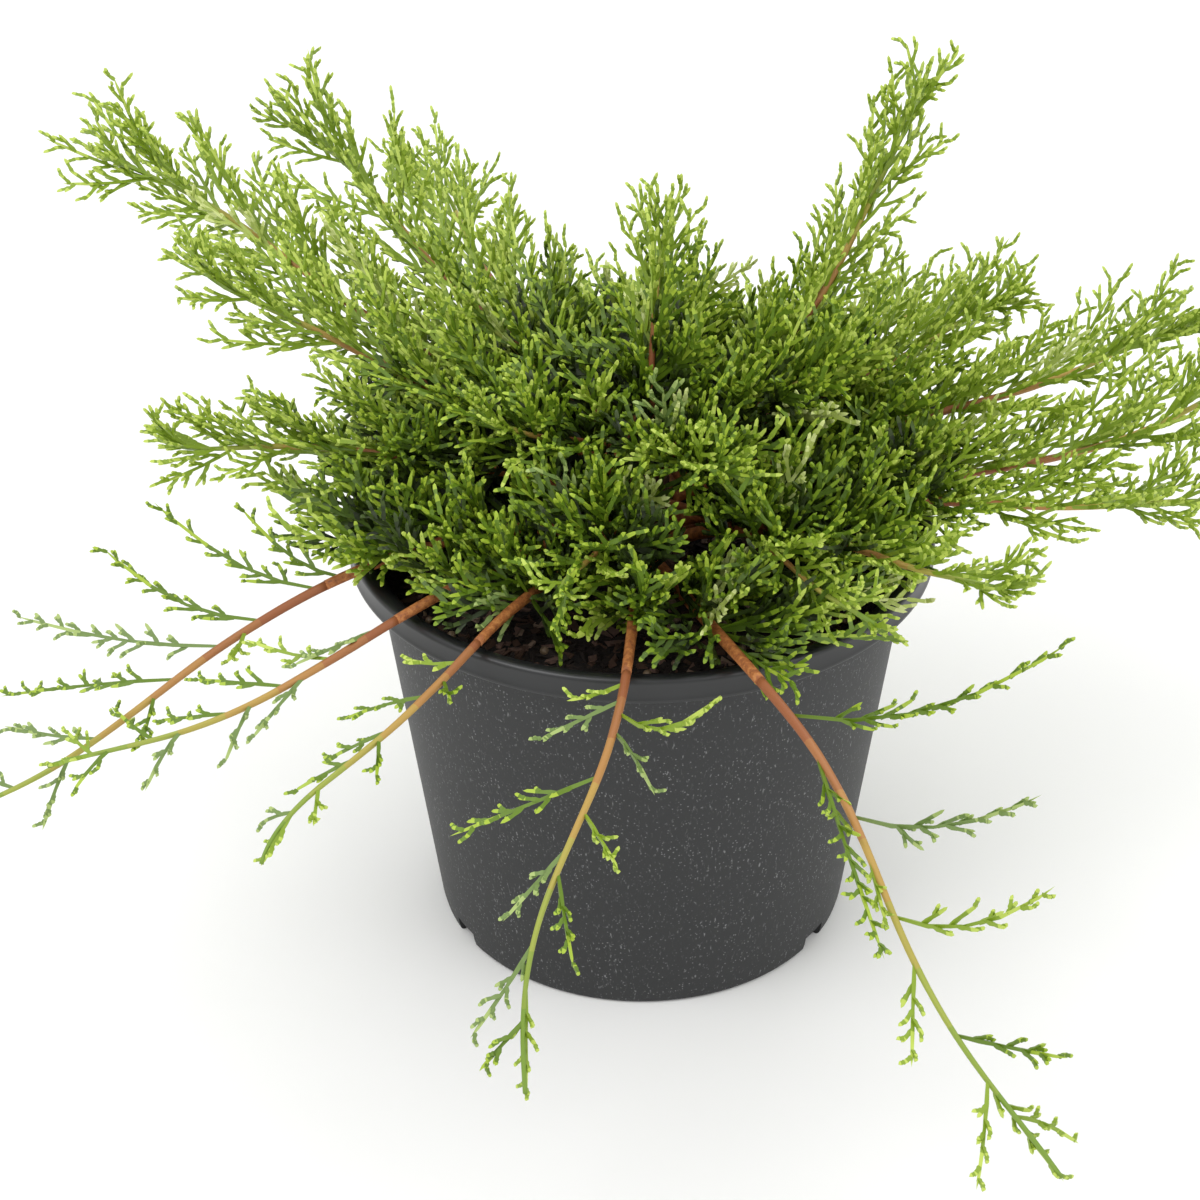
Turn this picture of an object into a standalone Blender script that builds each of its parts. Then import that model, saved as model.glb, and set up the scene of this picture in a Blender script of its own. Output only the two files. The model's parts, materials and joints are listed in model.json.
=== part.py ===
"""Potted spreading juniper, in metres, +Z up.

A squat black nursery pot holds a young spreading juniper. Its limbs leave one short stem, arch over
the rim and carry flat toothed sprays, and a dense dome of upright shoots fills the middle.
The origin is the centre of the pot's flat underside, and the front faces -Y.
"""

import math
from collections import namedtuple

import bmesh
import bpy
import numpy as np
from mathutils import Matrix, Vector

# Pot
RIM_RADIUS = 0.125
POT_HEIGHT = 0.192
BASE_RADIUS = 0.740 * RIM_RADIUS
SHOULDER_RADIUS = 0.917 * RIM_RADIUS
LIP_RADIUS = 0.911 * RIM_RADIUS
BAND_DEPTH = 0.011
LIP_DEPTH = 0.006
CREST_ROUND = 0.0022
WALL = 0.0022
FLOOR = 0.0026
BASE_ROUND = 0.0025
POT_SIDES = 40
NOTCH_AZIMUTHS = (-148.0, -34.0, 34.0, 148.0)
NOTCH_WIDTH = 0.014
NOTCH_HEIGHT = 0.008
NOTCH_REACH = 0.006

# Potting mix
SOIL_DROP = 0.022
SOIL_TOP = POT_HEIGHT - SOIL_DROP
SOIL_CROWN = 0.002
SOIL_SIDES = 24

# Clearances
GAP = 0.0003
LIMB_CLEARANCE = 0.0022
SPACE_MARGIN = 0.0012
RIM_CLEARANCE = 0.003
GROUND_CLEARANCE = 0.012

# Trunk
TRUNK_FOOT = SOIL_TOP + SOIL_CROWN + GAP
TRUNK_TOP = 0.238
TRUNK_LEAN = (0.005, 0.003)
TRUNK_SIDES_RESOLUTION = 3
FLARE_RADIUS = 0.0175
COLLAR_RADIUS = 0.0115
FORK_RADIUS = 0.0075
FLARE_HEIGHT = 0.006

# Limbs and foliage
BOUGH_RADIUS = 0.0032
SHORT_LIMB_RADIUS = 0.0022
TIP_RADIUS = 0.0008
TAPER = 1.2
BOUGH_POINTS = 6
STEM_POINTS = 6
SWAY_DEGREES = 2.2
FIRST_THIRD = 0.34
LAST_THIRD = 0.85
FORK_ANGLE = 44.0
FORK_SPREAD = 7.0
SHOOT_TAPER = 0.5
BLADE_HALF_WIDTH = 0.0021
BLADE_HALF_DEPTH = 0.0011
TOOTH_PITCH = 0.0125
TOOTH_REACH = 0.0135
TOOTH_SPREAD = 0.0085
TWIG_SIDES = 3
TWIG_RADIUS = 0.0013
ROOT_SUNK = 0.0022
SEED = 7

# One limb: where it leaves the trunk, how it travels and how leafy it is.
#   azimuth, turn   degrees from +X towards +Y at the trunk, and how far it swings by its tip
#   reach, tip      distance of its tip from the pot's axis, and its height there
#   foot            height where it leaves the trunk
#   rise, crest     heights that its first and last thirds bend towards
#   bare            share of its length that is bare bough (0: foliage from the trunk itself)
#   shoots, shoot   number of side shoots, and the length of the longest
#   roundness       0: flat spray, 1: shoots stand all round the stem
#   core            radius of the leafy core of a dense mass, 0 for an open one
Limb = namedtuple("Limb", "name azimuth turn reach foot rise crest tip bare shoots shoot roundness core")

OPEN_LIMBS = [
    Limb("front_right", -76, 8, 0.355, 0.180, 0.212, 0.226, 0.122, 0.36, 7, 0.085, 0.15, 0),
    Limb("front", -89, -11, 0.265, 0.192, 0.214, 0.205, 0.098, 0.42, 6, 0.058, 0.15, 0),
    Limb("front_left", -118, -8, 0.238, 0.180, 0.222, 0.190, 0.150, 0.45, 5, 0.050, 0.15, 0),
    Limb("left_front", -130, -19, 0.270, 0.192, 0.228, 0.165, 0.156, 0.42, 5, 0.055, 0.15, 0),
    Limb("left", -156, 3, 0.320, 0.182, 0.248, 0.130, 0.128, 0.38, 7, 0.078, 0.25, 0),
    Limb("left_mid", 184, 0, 0.197, 0.196, 0.235, 0.225, 0.240, 0.42, 5, 0.055, 0.5, 0),
    Limb("left_high", 150, 7, 0.250, 0.208, 0.235, 0.290, 0.322, 0.32, 6, 0.070, 0.5, 0),
    Limb("left_upper", 171, 0, 0.185, 0.216, 0.240, 0.265, 0.300, 0.32, 5, 0.060, 0.5, 0),
    Limb("back_left_high", 134, 5, 0.205, 0.220, 0.245, 0.285, 0.322, 0.32, 5, 0.065, 0.6, 0),
    Limb("back_left", 117, 0, 0.250, 0.204, 0.238, 0.250, 0.262, 0.38, 5, 0.060, 0.5, 0),
    Limb("back", 93, 0, 0.250, 0.190, 0.238, 0.215, 0.140, 0.42, 5, 0.060, 0.3, 0),
    Limb("back_right", 67, 0, 0.250, 0.182, 0.232, 0.205, 0.150, 0.42, 5, 0.060, 0.3, 0),
    Limb("right_back", 46, 0, 0.225, 0.198, 0.235, 0.225, 0.212, 0.42, 5, 0.055, 0.4, 0),
    Limb("right_high", 30, 4, 0.142, 0.2185, 0.240, 0.280, 0.362, 0.32, 6, 0.050, 0.6, 0),
    Limb("right_upper", 21, 0, 0.172, 0.209, 0.238, 0.245, 0.268, 0.38, 5, 0.055, 0.6, 0),
    Limb("right", 10, 5, 0.256, 0.200, 0.232, 0.235, 0.252, 0.40, 6, 0.062, 0.4, 0),
    Limb("right_long", 0, 4, 0.285, 0.182, 0.215, 0.212, 0.272, 0.40, 6, 0.065, 0.4, 0),
    Limb("right_low", -12, 5, 0.250, 0.191, 0.220, 0.215, 0.212, 0.42, 5, 0.055, 0.3, 0),
    Limb("right_front", -38, 0, 0.178, 0.184, 0.222, 0.222, 0.218, 0.45, 4, 0.045, 0.4, 0),
]
SHORT_LIMBS = [
    Limb("rim_front_left", -104, 0, 0.122, 0.206, 0.220, 0.224, 0.226, 0, 5, 0.042, 0.7, 0),
    Limb("rim_front_right", -56, 2, 0.150, 0.204, 0.220, 0.226, 0.210, 0, 6, 0.045, 0.6, 0),
]

# The dome of dense upright masses: a ring of them round the trunk's tip, and one on top.
DOME_AZIMUTHS = (-140, -70, 0, 75, 150)
DOME_REACH = 0.082
DOME_FOOT = 0.226
DOME_RISE = 0.240
DOME_CREST = 0.252
DOME_TIP = 0.272
DOME_STAGGER = 0.008
DOME_TIP_STAGGER = 0.006
DOME_CORE = 0.016
DOME_SHOOTS = 9
DOME_SHOOT = 0.048
SPIRE_REACH = 0.026
SPIRE_RISE = 0.262
SPIRE_CREST = 0.300
SPIRE_TIP = 0.345
SPIRE_CORE = 0.015
SPIRE_SHOOT = 0.045


def dome_limbs():
    """A ring of dense masses that lean outwards, every other one lower and longer, and a spire on top."""
    ring = []
    for index, azimuth in enumerate(DOME_AZIMUTHS):
        low = index % 2
        reach = DOME_REACH + DOME_STAGGER * low
        foot = DOME_FOOT - DOME_STAGGER * low
        tip = DOME_TIP - DOME_TIP_STAGGER * low
        ring.append(
            Limb(
                f"dome_{index + 1}", azimuth, 0, reach, foot, DOME_RISE, DOME_CREST, tip,
                0, DOME_SHOOTS, DOME_SHOOT, 1, DOME_CORE,
            )
        )
    spire = Limb(
        "spire", 70, 0, SPIRE_REACH, TRUNK_TOP + 2 * GAP, SPIRE_RISE, SPIRE_CREST, SPIRE_TIP,
        0, DOME_SHOOTS, SPIRE_SHOOT, 1, SPIRE_CORE,
    )
    return ring + [spire]


LIMBS = OPEN_LIMBS + SHORT_LIMBS + dome_limbs()


def clear_scene():
    for item in list(bpy.data.objects):
        bpy.data.objects.remove(item, do_unlink=True)


def new_collection(name, helper=False):
    collection = bpy.data.collections.new(name)
    bpy.context.scene.collection.children.link(collection)
    collection.hide_render = helper
    return collection


def new_material(name, colour, roughness):
    material = bpy.data.materials.new(name)
    material.use_nodes = True
    shader = material.node_tree.nodes["Principled BSDF"]
    shader.inputs["Base Color"].default_value = (*colour, 1.0)
    shader.inputs["Roughness"].default_value = roughness
    shader.inputs["Metallic"].default_value = 0.0
    material.diffuse_color = (*colour, 1.0)
    return material


def add_object(name, data, collection, material=None):
    item = bpy.data.objects.new(name, data)
    collection.objects.link(item)
    if material:
        data.materials.append(material)
    return item


def settled_mesh(item):
    """The object's mesh with its modifiers applied, in world space and with its loose caps welded."""
    bpy.context.view_layer.update()
    graph = bpy.context.evaluated_depsgraph_get()
    mesh = bpy.data.meshes.new_from_object(item.evaluated_get(graph))
    mesh.transform(item.matrix_world)
    shape = bmesh.new()
    shape.from_mesh(mesh)
    bmesh.ops.remove_doubles(shape, verts=shape.verts, dist=1e-6)
    shape.to_mesh(mesh)
    shape.free()
    return mesh


def turned(name, profile, sides, collection, material):
    """A profile of (radius, height) points, from the axis round to the axis again, turned about Z."""
    mesh = bpy.data.meshes.new(name)
    points = [(radius, 0.0, height) for radius, height in profile]
    mesh.from_pydata(points, [(i, i + 1) for i in range(len(points) - 1)], [])
    item = add_object(name, mesh, collection, material)
    screw = item.modifiers.new("Turn", "SCREW")
    screw.steps = sides
    screw.render_steps = sides
    screw.use_merge_vertices = True
    screw.merge_threshold = 0.00001
    screw.use_smooth_shade = True
    return item


def arc(centre_radius, centre_height, size, start, end, count):
    """Points on a round corner of a profile, angles in degrees from outwards to up."""
    angles = [math.radians(start + (end - start) * i / (count - 1)) for i in range(count)]
    return [(centre_radius + size * math.cos(a), centre_height + size * math.sin(a)) for a in angles]


def wall_radius(height):
    """Outer radius of the pot's body, which tapers straight from the shoulder to the base."""
    share = height / (POT_HEIGHT - BAND_DEPTH)
    return BASE_RADIUS + (SHOULDER_RADIUS - BASE_RADIUS) * min(share, 1.0)


def box_cutter(name, size, azimuth, radius, height, collection):
    bpy.ops.mesh.primitive_cube_add(size=1.0)
    cutter = bpy.context.object
    cutter.name = name
    cutter.data.transform(Matrix.Diagonal((*size, 1.0)))
    angle = math.radians(azimuth)
    cutter.rotation_euler = (0.0, 0.0, angle)
    cutter.location = (radius * math.cos(angle), radius * math.sin(angle), height)
    for owner in list(cutter.users_collection):
        owner.objects.unlink(cutter)
    collection.objects.link(cutter)
    cutter.hide_render = True
    cutter.display_type = "WIRE"
    return cutter


def make_pot(collection, cutters, material):
    """The thin shell: floor, sloping lip, rolled crest, outer band, tapering wall and rounded foot."""
    inner_floor = wall_radius(FLOOR) - WALL
    inner_shoulder = SHOULDER_RADIUS - WALL
    band_foot = POT_HEIGHT - BAND_DEPTH
    crest = RIM_RADIUS - CREST_ROUND
    profile = [(0.0, FLOOR), (inner_floor, FLOOR), (inner_shoulder, band_foot - 0.001)]
    profile += [(LIP_RADIUS, POT_HEIGHT - LIP_DEPTH)]
    profile += [(crest - 0.004, POT_HEIGHT - 0.0008)]
    profile += arc(crest, POT_HEIGHT - CREST_ROUND, CREST_ROUND, 90, 0, 3)
    profile += [(RIM_RADIUS - 0.0003, band_foot), (SHOULDER_RADIUS, band_foot - 0.0004)]
    profile += arc(BASE_RADIUS - BASE_ROUND, BASE_ROUND, BASE_ROUND, 0, -90, 3)
    profile += [(0.0, 0.0)]
    pot = turned("pot", profile, POT_SIDES, collection, material)
    for index, azimuth in enumerate(NOTCH_AZIMUTHS):
        size = (2 * NOTCH_REACH, NOTCH_WIDTH, 2 * NOTCH_HEIGHT)
        box_cutter(f"drain_notch_{index + 1}", size, azimuth, BASE_RADIUS + 0.001, 0.0, cutters)
    cut = pot.modifiers.new("Drain notches", "BOOLEAN")
    cut.operand_type = "COLLECTION"
    cut.collection = cutters
    cut.operation = "DIFFERENCE"
    cut.solver = "EXACT"
    return pot


def make_soil(collection, material):
    """The potting mix fills the pot a little short of its wall, with a slightly raised middle."""
    top_radius = wall_radius(SOIL_TOP) - WALL - 2 * GAP
    low = FLOOR + GAP
    low_radius = wall_radius(low) - WALL - 2 * GAP
    profile = [(0.0, SOIL_TOP + SOIL_CROWN), (0.03, SOIL_TOP + SOIL_CROWN), (0.08, SOIL_TOP + 0.0008)]
    profile += [(top_radius, SOIL_TOP - 0.001), (low_radius, low), (0.0, low)]
    return turned("potting_mix", profile, SOIL_SIDES, collection, material)


def trunk_axis(height):
    """Where the leaning trunk's axis is at this height."""
    share = max(0.0, (height - TRUNK_FOOT - FLARE_HEIGHT) / (TRUNK_TOP - TRUNK_FOOT - FLARE_HEIGHT))
    return Vector((TRUNK_LEAN[0] * share, TRUNK_LEAN[1] * share, height))


def trunk_radius(height):
    """Flared at the soil, then a straight taper from the collar to the fork."""
    rise = height - TRUNK_FOOT
    if rise < FLARE_HEIGHT:
        return FLARE_RADIUS + (COLLAR_RADIUS - FLARE_RADIUS) * math.sqrt(max(rise, 0.0) / FLARE_HEIGHT)
    share = (rise - FLARE_HEIGHT) / (TRUNK_TOP - TRUNK_FOOT - FLARE_HEIGHT)
    return COLLAR_RADIUS + (FORK_RADIUS - COLLAR_RADIUS) * share


def tube(name, points, radii, resolution, collection, material):
    """A poly curve with a round section that follows the radii, closed at both ends."""
    curve = bpy.data.curves.new(name, "CURVE")
    curve.dimensions = "3D"
    curve.bevel_depth = 1.0
    curve.bevel_resolution = resolution
    curve.use_fill_caps = True
    spline = curve.splines.new("POLY")
    spline.points.add(len(points) - 1)
    for knot, place, radius in zip(spline.points, points, radii):
        knot.co = (*place, 1.0)
        knot.radius = radius
    return add_object(name, curve, collection, material)


def make_trunk(collection, material):
    """The short stem: a flat cut at the soil, a flare, and a slight lean up to its fork."""
    collar = TRUNK_FOOT + FLARE_HEIGHT
    heights = [TRUNK_FOOT, TRUNK_FOOT + 0.0015, collar]
    heights += [collar + (TRUNK_TOP - TRUNK_FOOT - FLARE_HEIGHT) * i / 3 for i in (1, 2, 3)]
    points = [trunk_axis(height) for height in heights]
    radii = [trunk_radius(height) for height in heights]
    return tube("trunk", points, radii, TRUNK_SIDES_RESOLUTION, collection, material)


def limb_radius(limb, share):
    """Thickness of a limb at a share of its whole length, from its foot to its tip."""
    base = BOUGH_RADIUS if limb.bare else SHORT_LIMB_RADIUS
    return TIP_RADIUS + (base - TIP_RADIUS) * (1.0 - share) ** TAPER


def limb_path(limb, shares):
    """Points along a limb: a cubic curve of distance and height, swung about the axis as it goes.

    Point = foot (1-t)^3 + rise 3t(1-t)^2 + crest 3t^2(1-t) + tip t^3, for distance and height alike.
    """
    t = np.asarray(shares, float)
    weights = np.stack([(1 - t) ** 3, 3 * t * (1 - t) ** 2, 3 * t * t * (1 - t), t**3], axis=-1)
    base = BOUGH_RADIUS if limb.bare else SHORT_LIMB_RADIUS
    on_top = limb.foot > TRUNK_TOP
    first = 0.0 if on_top else limb.reach * FIRST_THIRD
    slope = math.atan2(limb.rise - limb.foot, first)
    clear = 0.0 if on_top else trunk_radius(limb.foot) + 2 * GAP + base * math.sin(slope)
    distance = weights @ np.array([clear, max(first, clear), limb.reach * LAST_THIRD, limb.reach])
    height = weights @ np.array([limb.foot, limb.rise, limb.crest, limb.tip])
    sway = SWAY_DEGREES * np.sin(math.radians(limb.azimuth * 1.7) + 3 * math.pi * t) * t
    angle = np.radians(limb.azimuth + limb.turn * t + sway)
    offset = trunk_axis(min(limb.foot, TRUNK_TOP))
    x = distance * np.cos(angle) + offset.x * (1 - t) ** 2
    y = distance * np.sin(angle) + offset.y * (1 - t) ** 2
    return np.stack([x, y, height], axis=-1)


def limb_frame(limb, share):
    """Place, direction, level side and upward side of a limb at a share of its length."""
    step = 0.01
    before, here, after = limb_path(limb, [share - step, share, share + step])
    along = (after - before) / np.linalg.norm(after - before)
    side = np.cross(along, (0.0, 0.0, 1.0))
    if np.linalg.norm(side) < 0.2:
        angle = math.radians(limb.azimuth)
        side = np.array([math.sin(angle), -math.cos(angle), 0.0])
    side /= np.linalg.norm(side)
    return here, along, side, np.cross(side, along)


def shoot_plan(limb, count, draws):
    """Side shoots of a limb by rule: alternate sides on a flat spray, turned all round on a full one.

    Each entry is root, direction, flat side and length. Shoots fork at about 44 degrees, point a
    little upwards and shorten towards the limb's tip.
    """
    plan = []
    start = limb.bare + 0.04 if limb.bare else 0.30
    for index in range(count):
        along_share = (index + 0.5 + draws.uniform(-0.2, 0.2)) / count
        share = start + (0.96 - start) * along_share
        here, along, side, up = limb_frame(limb, share)
        hand = 1.0 if index % 2 else -1.0
        flat_roll = math.radians(draws.uniform(-10, 35))
        round_roll = math.radians(index * 137.5 + draws.uniform(-20, 20))
        flat_way = hand * math.cos(flat_roll) * side + math.sin(flat_roll) * up
        round_way = math.cos(round_roll) * side + math.sin(round_roll) * up
        way = (1 - limb.roundness) * flat_way + limb.roundness * round_way
        way += limb.roundness * 0.35 * np.array([0.0, 0.0, 1.0])
        way /= np.linalg.norm(way)
        fork = math.radians(FORK_ANGLE + draws.uniform(-FORK_SPREAD, FORK_SPREAD))
        direction = math.cos(fork) * along + math.sin(fork) * way
        flat = np.cross(np.cross(along, way), direction)
        length = limb.shoot * (1 - SHOOT_TAPER * along_share) * draws.uniform(0.78, 1.12)
        plan.append((here, direction, flat / np.linalg.norm(flat), length))
    return plan


def placed(mesh, root, direction, flat):
    """Turns a piece made along +X with its flat side along +Y to the given directions."""
    across = np.cross(direction, flat)
    turn = Matrix(np.column_stack([direction, flat, across]).tolist()).to_4x4()
    mesh.transform(Matrix.Translation(Vector(root)) @ turn)
    return mesh


def blade_mesh(length, teeth, sunk):
    """A toothed blade along +X: its outline is flat, and a ridge stands on both of its faces.

    Station i of the ridge is at i times the pitch. The tooth between two stations leans forwards, and
    the teeth shorten towards the tip.
    """
    pitch = (length - sunk) / (teeth + 1.0)
    shape = bmesh.new()
    root = shape.verts.new((0.0, 0.0, 0.0))
    stations = []
    for i in range(teeth + 1):
        x = sunk + i * pitch
        width = BLADE_HALF_WIDTH * (1 - 0.35 * i / teeth)
        depth = BLADE_HALF_DEPTH * (1 - 0.3 * i / teeth)
        corners = ((x, 0, depth), (x, 0, -depth), (x, width, 0), (x, -width, 0))
        stations.append([shape.verts.new(corner) for corner in corners])
    tip = shape.verts.new((length, 0.0, 0.0))
    for i in range(teeth):
        here, there = stations[i], stations[i + 1]
        size = 1.0 - 0.28 * i / max(teeth - 1, 1)
        reach = min(TOOTH_REACH * size, 1.15 * pitch)
        for hand, edge in ((1, 2), (-1, 3)):
            x = sunk + i * pitch + reach
            point = shape.verts.new((x, hand * (BLADE_HALF_WIDTH + TOOTH_SPREAD * size), 0.0))
            for ridge in (0, 1):
                shape.faces.new((here[ridge], point, here[edge]))
                shape.faces.new((here[ridge], there[edge], point))
                shape.faces.new((here[ridge], there[ridge], there[edge]))
    for ridge in (0, 1):
        for edge in (2, 3):
            shape.faces.new((root, stations[0][ridge], stations[0][edge]))
            shape.faces.new((stations[-1][ridge], tip, stations[-1][edge]))
    bmesh.ops.recalc_face_normals(shape, faces=shape.faces)
    mesh = bpy.data.meshes.new("spray")
    shape.to_mesh(mesh)
    shape.free()
    return mesh


def twig_mesh(length, radius):
    """A three-sided tapering twig along +X."""
    shape = bmesh.new()
    bmesh.ops.create_cone(
        shape, cap_ends=True, segments=TWIG_SIDES, radius1=radius, radius2=0.6 * radius, depth=length
    )
    bmesh.ops.translate(shape, verts=shape.verts, vec=(0.0, 0.0, length / 2))
    bmesh.ops.rotate(shape, verts=shape.verts, matrix=Matrix.Rotation(math.pi / 2, 3, "Y"))
    mesh = bpy.data.meshes.new("twig")
    shape.to_mesh(mesh)
    shape.free()
    return mesh


def core_mesh(radius):
    """A low ball, longer along the stem, that a dense mass's sprays stand out of."""
    shape = bmesh.new()
    bmesh.ops.create_uvsphere(shape, u_segments=6, v_segments=4, radius=radius)
    bmesh.ops.rotate(shape, verts=shape.verts, matrix=Matrix.Rotation(math.pi / 2, 3, "Y"))
    bmesh.ops.scale(shape, verts=shape.verts, vec=(1.25, 1.0, 1.0))
    mesh = bpy.data.meshes.new("core")
    shape.to_mesh(mesh)
    shape.free()
    return mesh


SAMPLE_SHARES = np.linspace(0.0, 1.0, 61)
PATHS = np.array([limb_path(limb, SAMPLE_SHARES) for limb in LIMBS])


def test_points(mesh):
    """A piece's corners and three more points along each of its edges."""
    corners = np.empty(len(mesh.vertices) * 3)
    mesh.vertices.foreach_get("co", corners)
    corners = corners.reshape(-1, 3)
    ends = np.array([edge.vertices[:] for edge in mesh.edges])
    first, second = corners[ends[:, 0]], corners[ends[:, 1]]
    between = [first + (second - first) * share for share in (0.25, 0.5, 0.75)]
    return np.concatenate([corners, *between])


def clears_pot(points):
    """True where every point is above the potting mix, or outside the pot and above the ground."""
    distance = np.hypot(points[:, 0], points[:, 1])
    height = points[:, 2]
    over_rim = height > POT_HEIGHT + RIM_CLEARANCE
    over_soil = (distance < LIP_RADIUS - RIM_CLEARANCE) & (height > SOIL_TOP + SOIL_CROWN + RIM_CLEARANCE)
    outside = (distance > RIM_RADIUS + RIM_CLEARANCE) & (height > GROUND_CLEARANCE)
    return bool((over_rim | over_soil | outside).all())


def fits(mesh, index):
    """True where a piece stays in its own mass's space and touches no limb, trunk or pot.

    A mass's space is where its own limb is nearer than any other limb.
    """
    points = test_points(mesh)
    gaps = np.linalg.norm(PATHS[:, None, :, :] - points[None, :, None, :], axis=-1)
    nearest = gaps.min(axis=2)
    own = nearest[index]
    others = np.delete(nearest, index, axis=0).min(axis=0)
    if (own + SPACE_MARGIN > others).any() or others.min() < BOUGH_RADIUS + LIMB_CLEARANCE:
        return False
    bare = SAMPLE_SHARES < LIMBS[index].bare
    if bare.any() and gaps[index][:, bare].min() < BOUGH_RADIUS + LIMB_CLEARANCE / 2:
        return False
    low = points[points[:, 2] < TRUNK_TOP + 0.002]
    if len(low) and np.hypot(low[:, 0], low[:, 1]).min() < COLLAR_RADIUS + 0.004:
        return False
    return clears_pot(points)


def shoot_pieces(root, direction, flat, length):
    """One side shoot: a twig rooted well inside its stem, and the toothed spray that it carries."""
    pieces = []
    stalk = 0.45 * length + ROOT_SUNK
    start = root - ROOT_SUNK * direction
    pieces.append(placed(twig_mesh(stalk, TWIG_RADIUS), start, direction, flat))
    blade_root = root + 0.24 * length * direction
    teeth = int(np.clip(round(0.7 * length / TOOTH_PITCH) - 1, 1, 3))
    pieces.append(placed(blade_mesh(0.76 * length, teeth, 0.006), blade_root, direction, flat))
    return pieces


def mass_pieces(index):
    """Every twig, spray and core of one mass that fits in its space."""
    limb = LIMBS[index]
    draws = np.random.default_rng(SEED + index)
    pieces = []
    if limb.core:
        here, along, side, _ = limb_frame(limb, 0.66)
        pieces.append(placed(core_mesh(limb.core), here, along, side))
    for root, direction, flat, length in shoot_plan(limb, limb.shoots, draws):
        for shrink in (1.0, 0.8, 0.6, 0.45):
            made = shoot_pieces(root, direction, flat, shrink * length)
            if all(fits(mesh, index) for mesh in made):
                pieces += made
                break
    tip, along, side, _ = limb_frame(limb, 0.97)
    end = 0.35 * limb.shoot
    pieces.append(placed(blade_mesh(end + 0.01, 1, 0.006), tip - 0.01 * along, along, side))
    return pieces


def closed(mesh):
    shape = bmesh.new()
    shape.from_mesh(mesh)
    whole = bool(shape.edges) and all(edge.is_manifold for edge in shape.edges)
    shape.free()
    return whole


def keep_main_body(mesh):
    """Drops every loose scrap and every sealed hollow's wall, which leaves the largest shell."""
    shape = bmesh.new()
    shape.from_mesh(mesh)
    shape.verts.ensure_lookup_table()
    unseen = set(shape.verts)
    shells = []
    while unseen:
        front = [unseen.pop()]
        shell = set(front)
        while front:
            for edge in front.pop().link_edges:
                for vert in edge.verts:
                    if vert in unseen:
                        unseen.discard(vert)
                        shell.add(vert)
                        front.append(vert)
        shells.append(shell)
    main = max(shells, key=len)
    bmesh.ops.delete(shape, geom=[v for v in shape.verts if v not in main], context="VERTS")
    shape.to_mesh(mesh)
    shape.free()
    return mesh


def join_by_union(stem, pieces, material):
    """One Boolean union of the stem's mesh with all of a mass's pieces, applied, and the pieces removed."""
    helpers = new_collection(stem.name + "_pieces", helper=True)
    for number, mesh in enumerate(pieces):
        piece = add_object(f"{stem.name}_piece_{number}", mesh, helpers)
        piece.hide_render = True
        piece.display_type = "WIRE"
    union = stem.modifiers.new("Join", "BOOLEAN")
    union.operation = "UNION"
    union.operand_type = "COLLECTION"
    union.collection = helpers
    for solver in ("EXACT", "MANIFOLD"):
        union.solver = solver
        joined = settled_mesh(stem)
        if closed(joined):
            break
    stem.modifiers.clear()
    stem.data = keep_main_body(joined)
    stem.data.materials.clear()
    stem.data.materials.append(material)
    for piece in list(helpers.objects):
        bpy.data.objects.remove(piece, do_unlink=True)
    bpy.data.collections.remove(helpers)


def limb_tube(name, limb, shares, resolution, collection, material):
    points = [Vector(place) for place in limb_path(limb, shares)]
    radii = [limb_radius(limb, share) for share in shares]
    return tube(name, points, radii, resolution, collection, material)


def make_bough(limb, collection, material):
    """The bare, tapering part of a limb, from the trunk to where it enters its foliage."""
    shares = np.linspace(0.0, limb.bare, BOUGH_POINTS)
    return limb_tube("bough_" + limb.name, limb, shares, 1, collection, material)


def make_mass(index, collection, material):
    """One mass of foliage: the leafy rest of a limb, its twigs and its sprays, fused into one solid."""
    limb = LIMBS[index]
    length = np.linalg.norm(np.diff(PATHS[index], axis=0), axis=1).sum()
    start = limb.bare + 2 * GAP / length if limb.bare else 0.0
    shares = np.linspace(start, 0.99, STEM_POINTS)
    curve = limb_tube("stem_curve", limb, shares, 0, collection, material)
    stem = add_object("foliage_" + limb.name, settled_mesh(curve), collection)
    bpy.data.objects.remove(curve, do_unlink=True)
    join_by_union(stem, mass_pieces(index), material)
    return stem


def main():
    clear_scene()
    plant = new_collection("potted spreading juniper")
    cutters = new_collection("pot cutters", helper=True)
    plastic = new_material("recycled black plastic", (0.035, 0.037, 0.042), 0.5)
    mix = new_material("composted bark mix", (0.025, 0.018, 0.013), 0.95)
    bark = new_material("old bark", (0.14, 0.075, 0.045), 0.85)
    young_bark = new_material("young bark", (0.36, 0.17, 0.06), 0.65)
    sprays = new_material("fresh scale foliage", (0.16, 0.30, 0.03), 0.6)
    dome = new_material("dense scale foliage", (0.09, 0.20, 0.02), 0.6)
    make_pot(plant, cutters, plastic)
    make_soil(plant, mix)
    make_trunk(plant, bark)
    for index, limb in enumerate(LIMBS):
        if limb.bare:
            make_bough(limb, plant, young_bark)
        make_mass(index, plant, dome if limb.core else sprays)


main()
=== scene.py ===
# %% [markdown]
# # A potted spreading juniper
# A young spreading juniper in a squat black nursery pot: long limbs arch over the rim and carry flat
# sprays of scale leaves, and upright shoots make a dense dome in the middle. The solids of the packed
# model give sizes and places. Here each of them gets its real surface, and the masses of foliage are
# grown again from the same rule as the solids, down to the last branchlet.

import json
import math
from collections import namedtuple

import bmesh
import bpy
import numpy as np
from mathutils import Matrix, Vector

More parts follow.
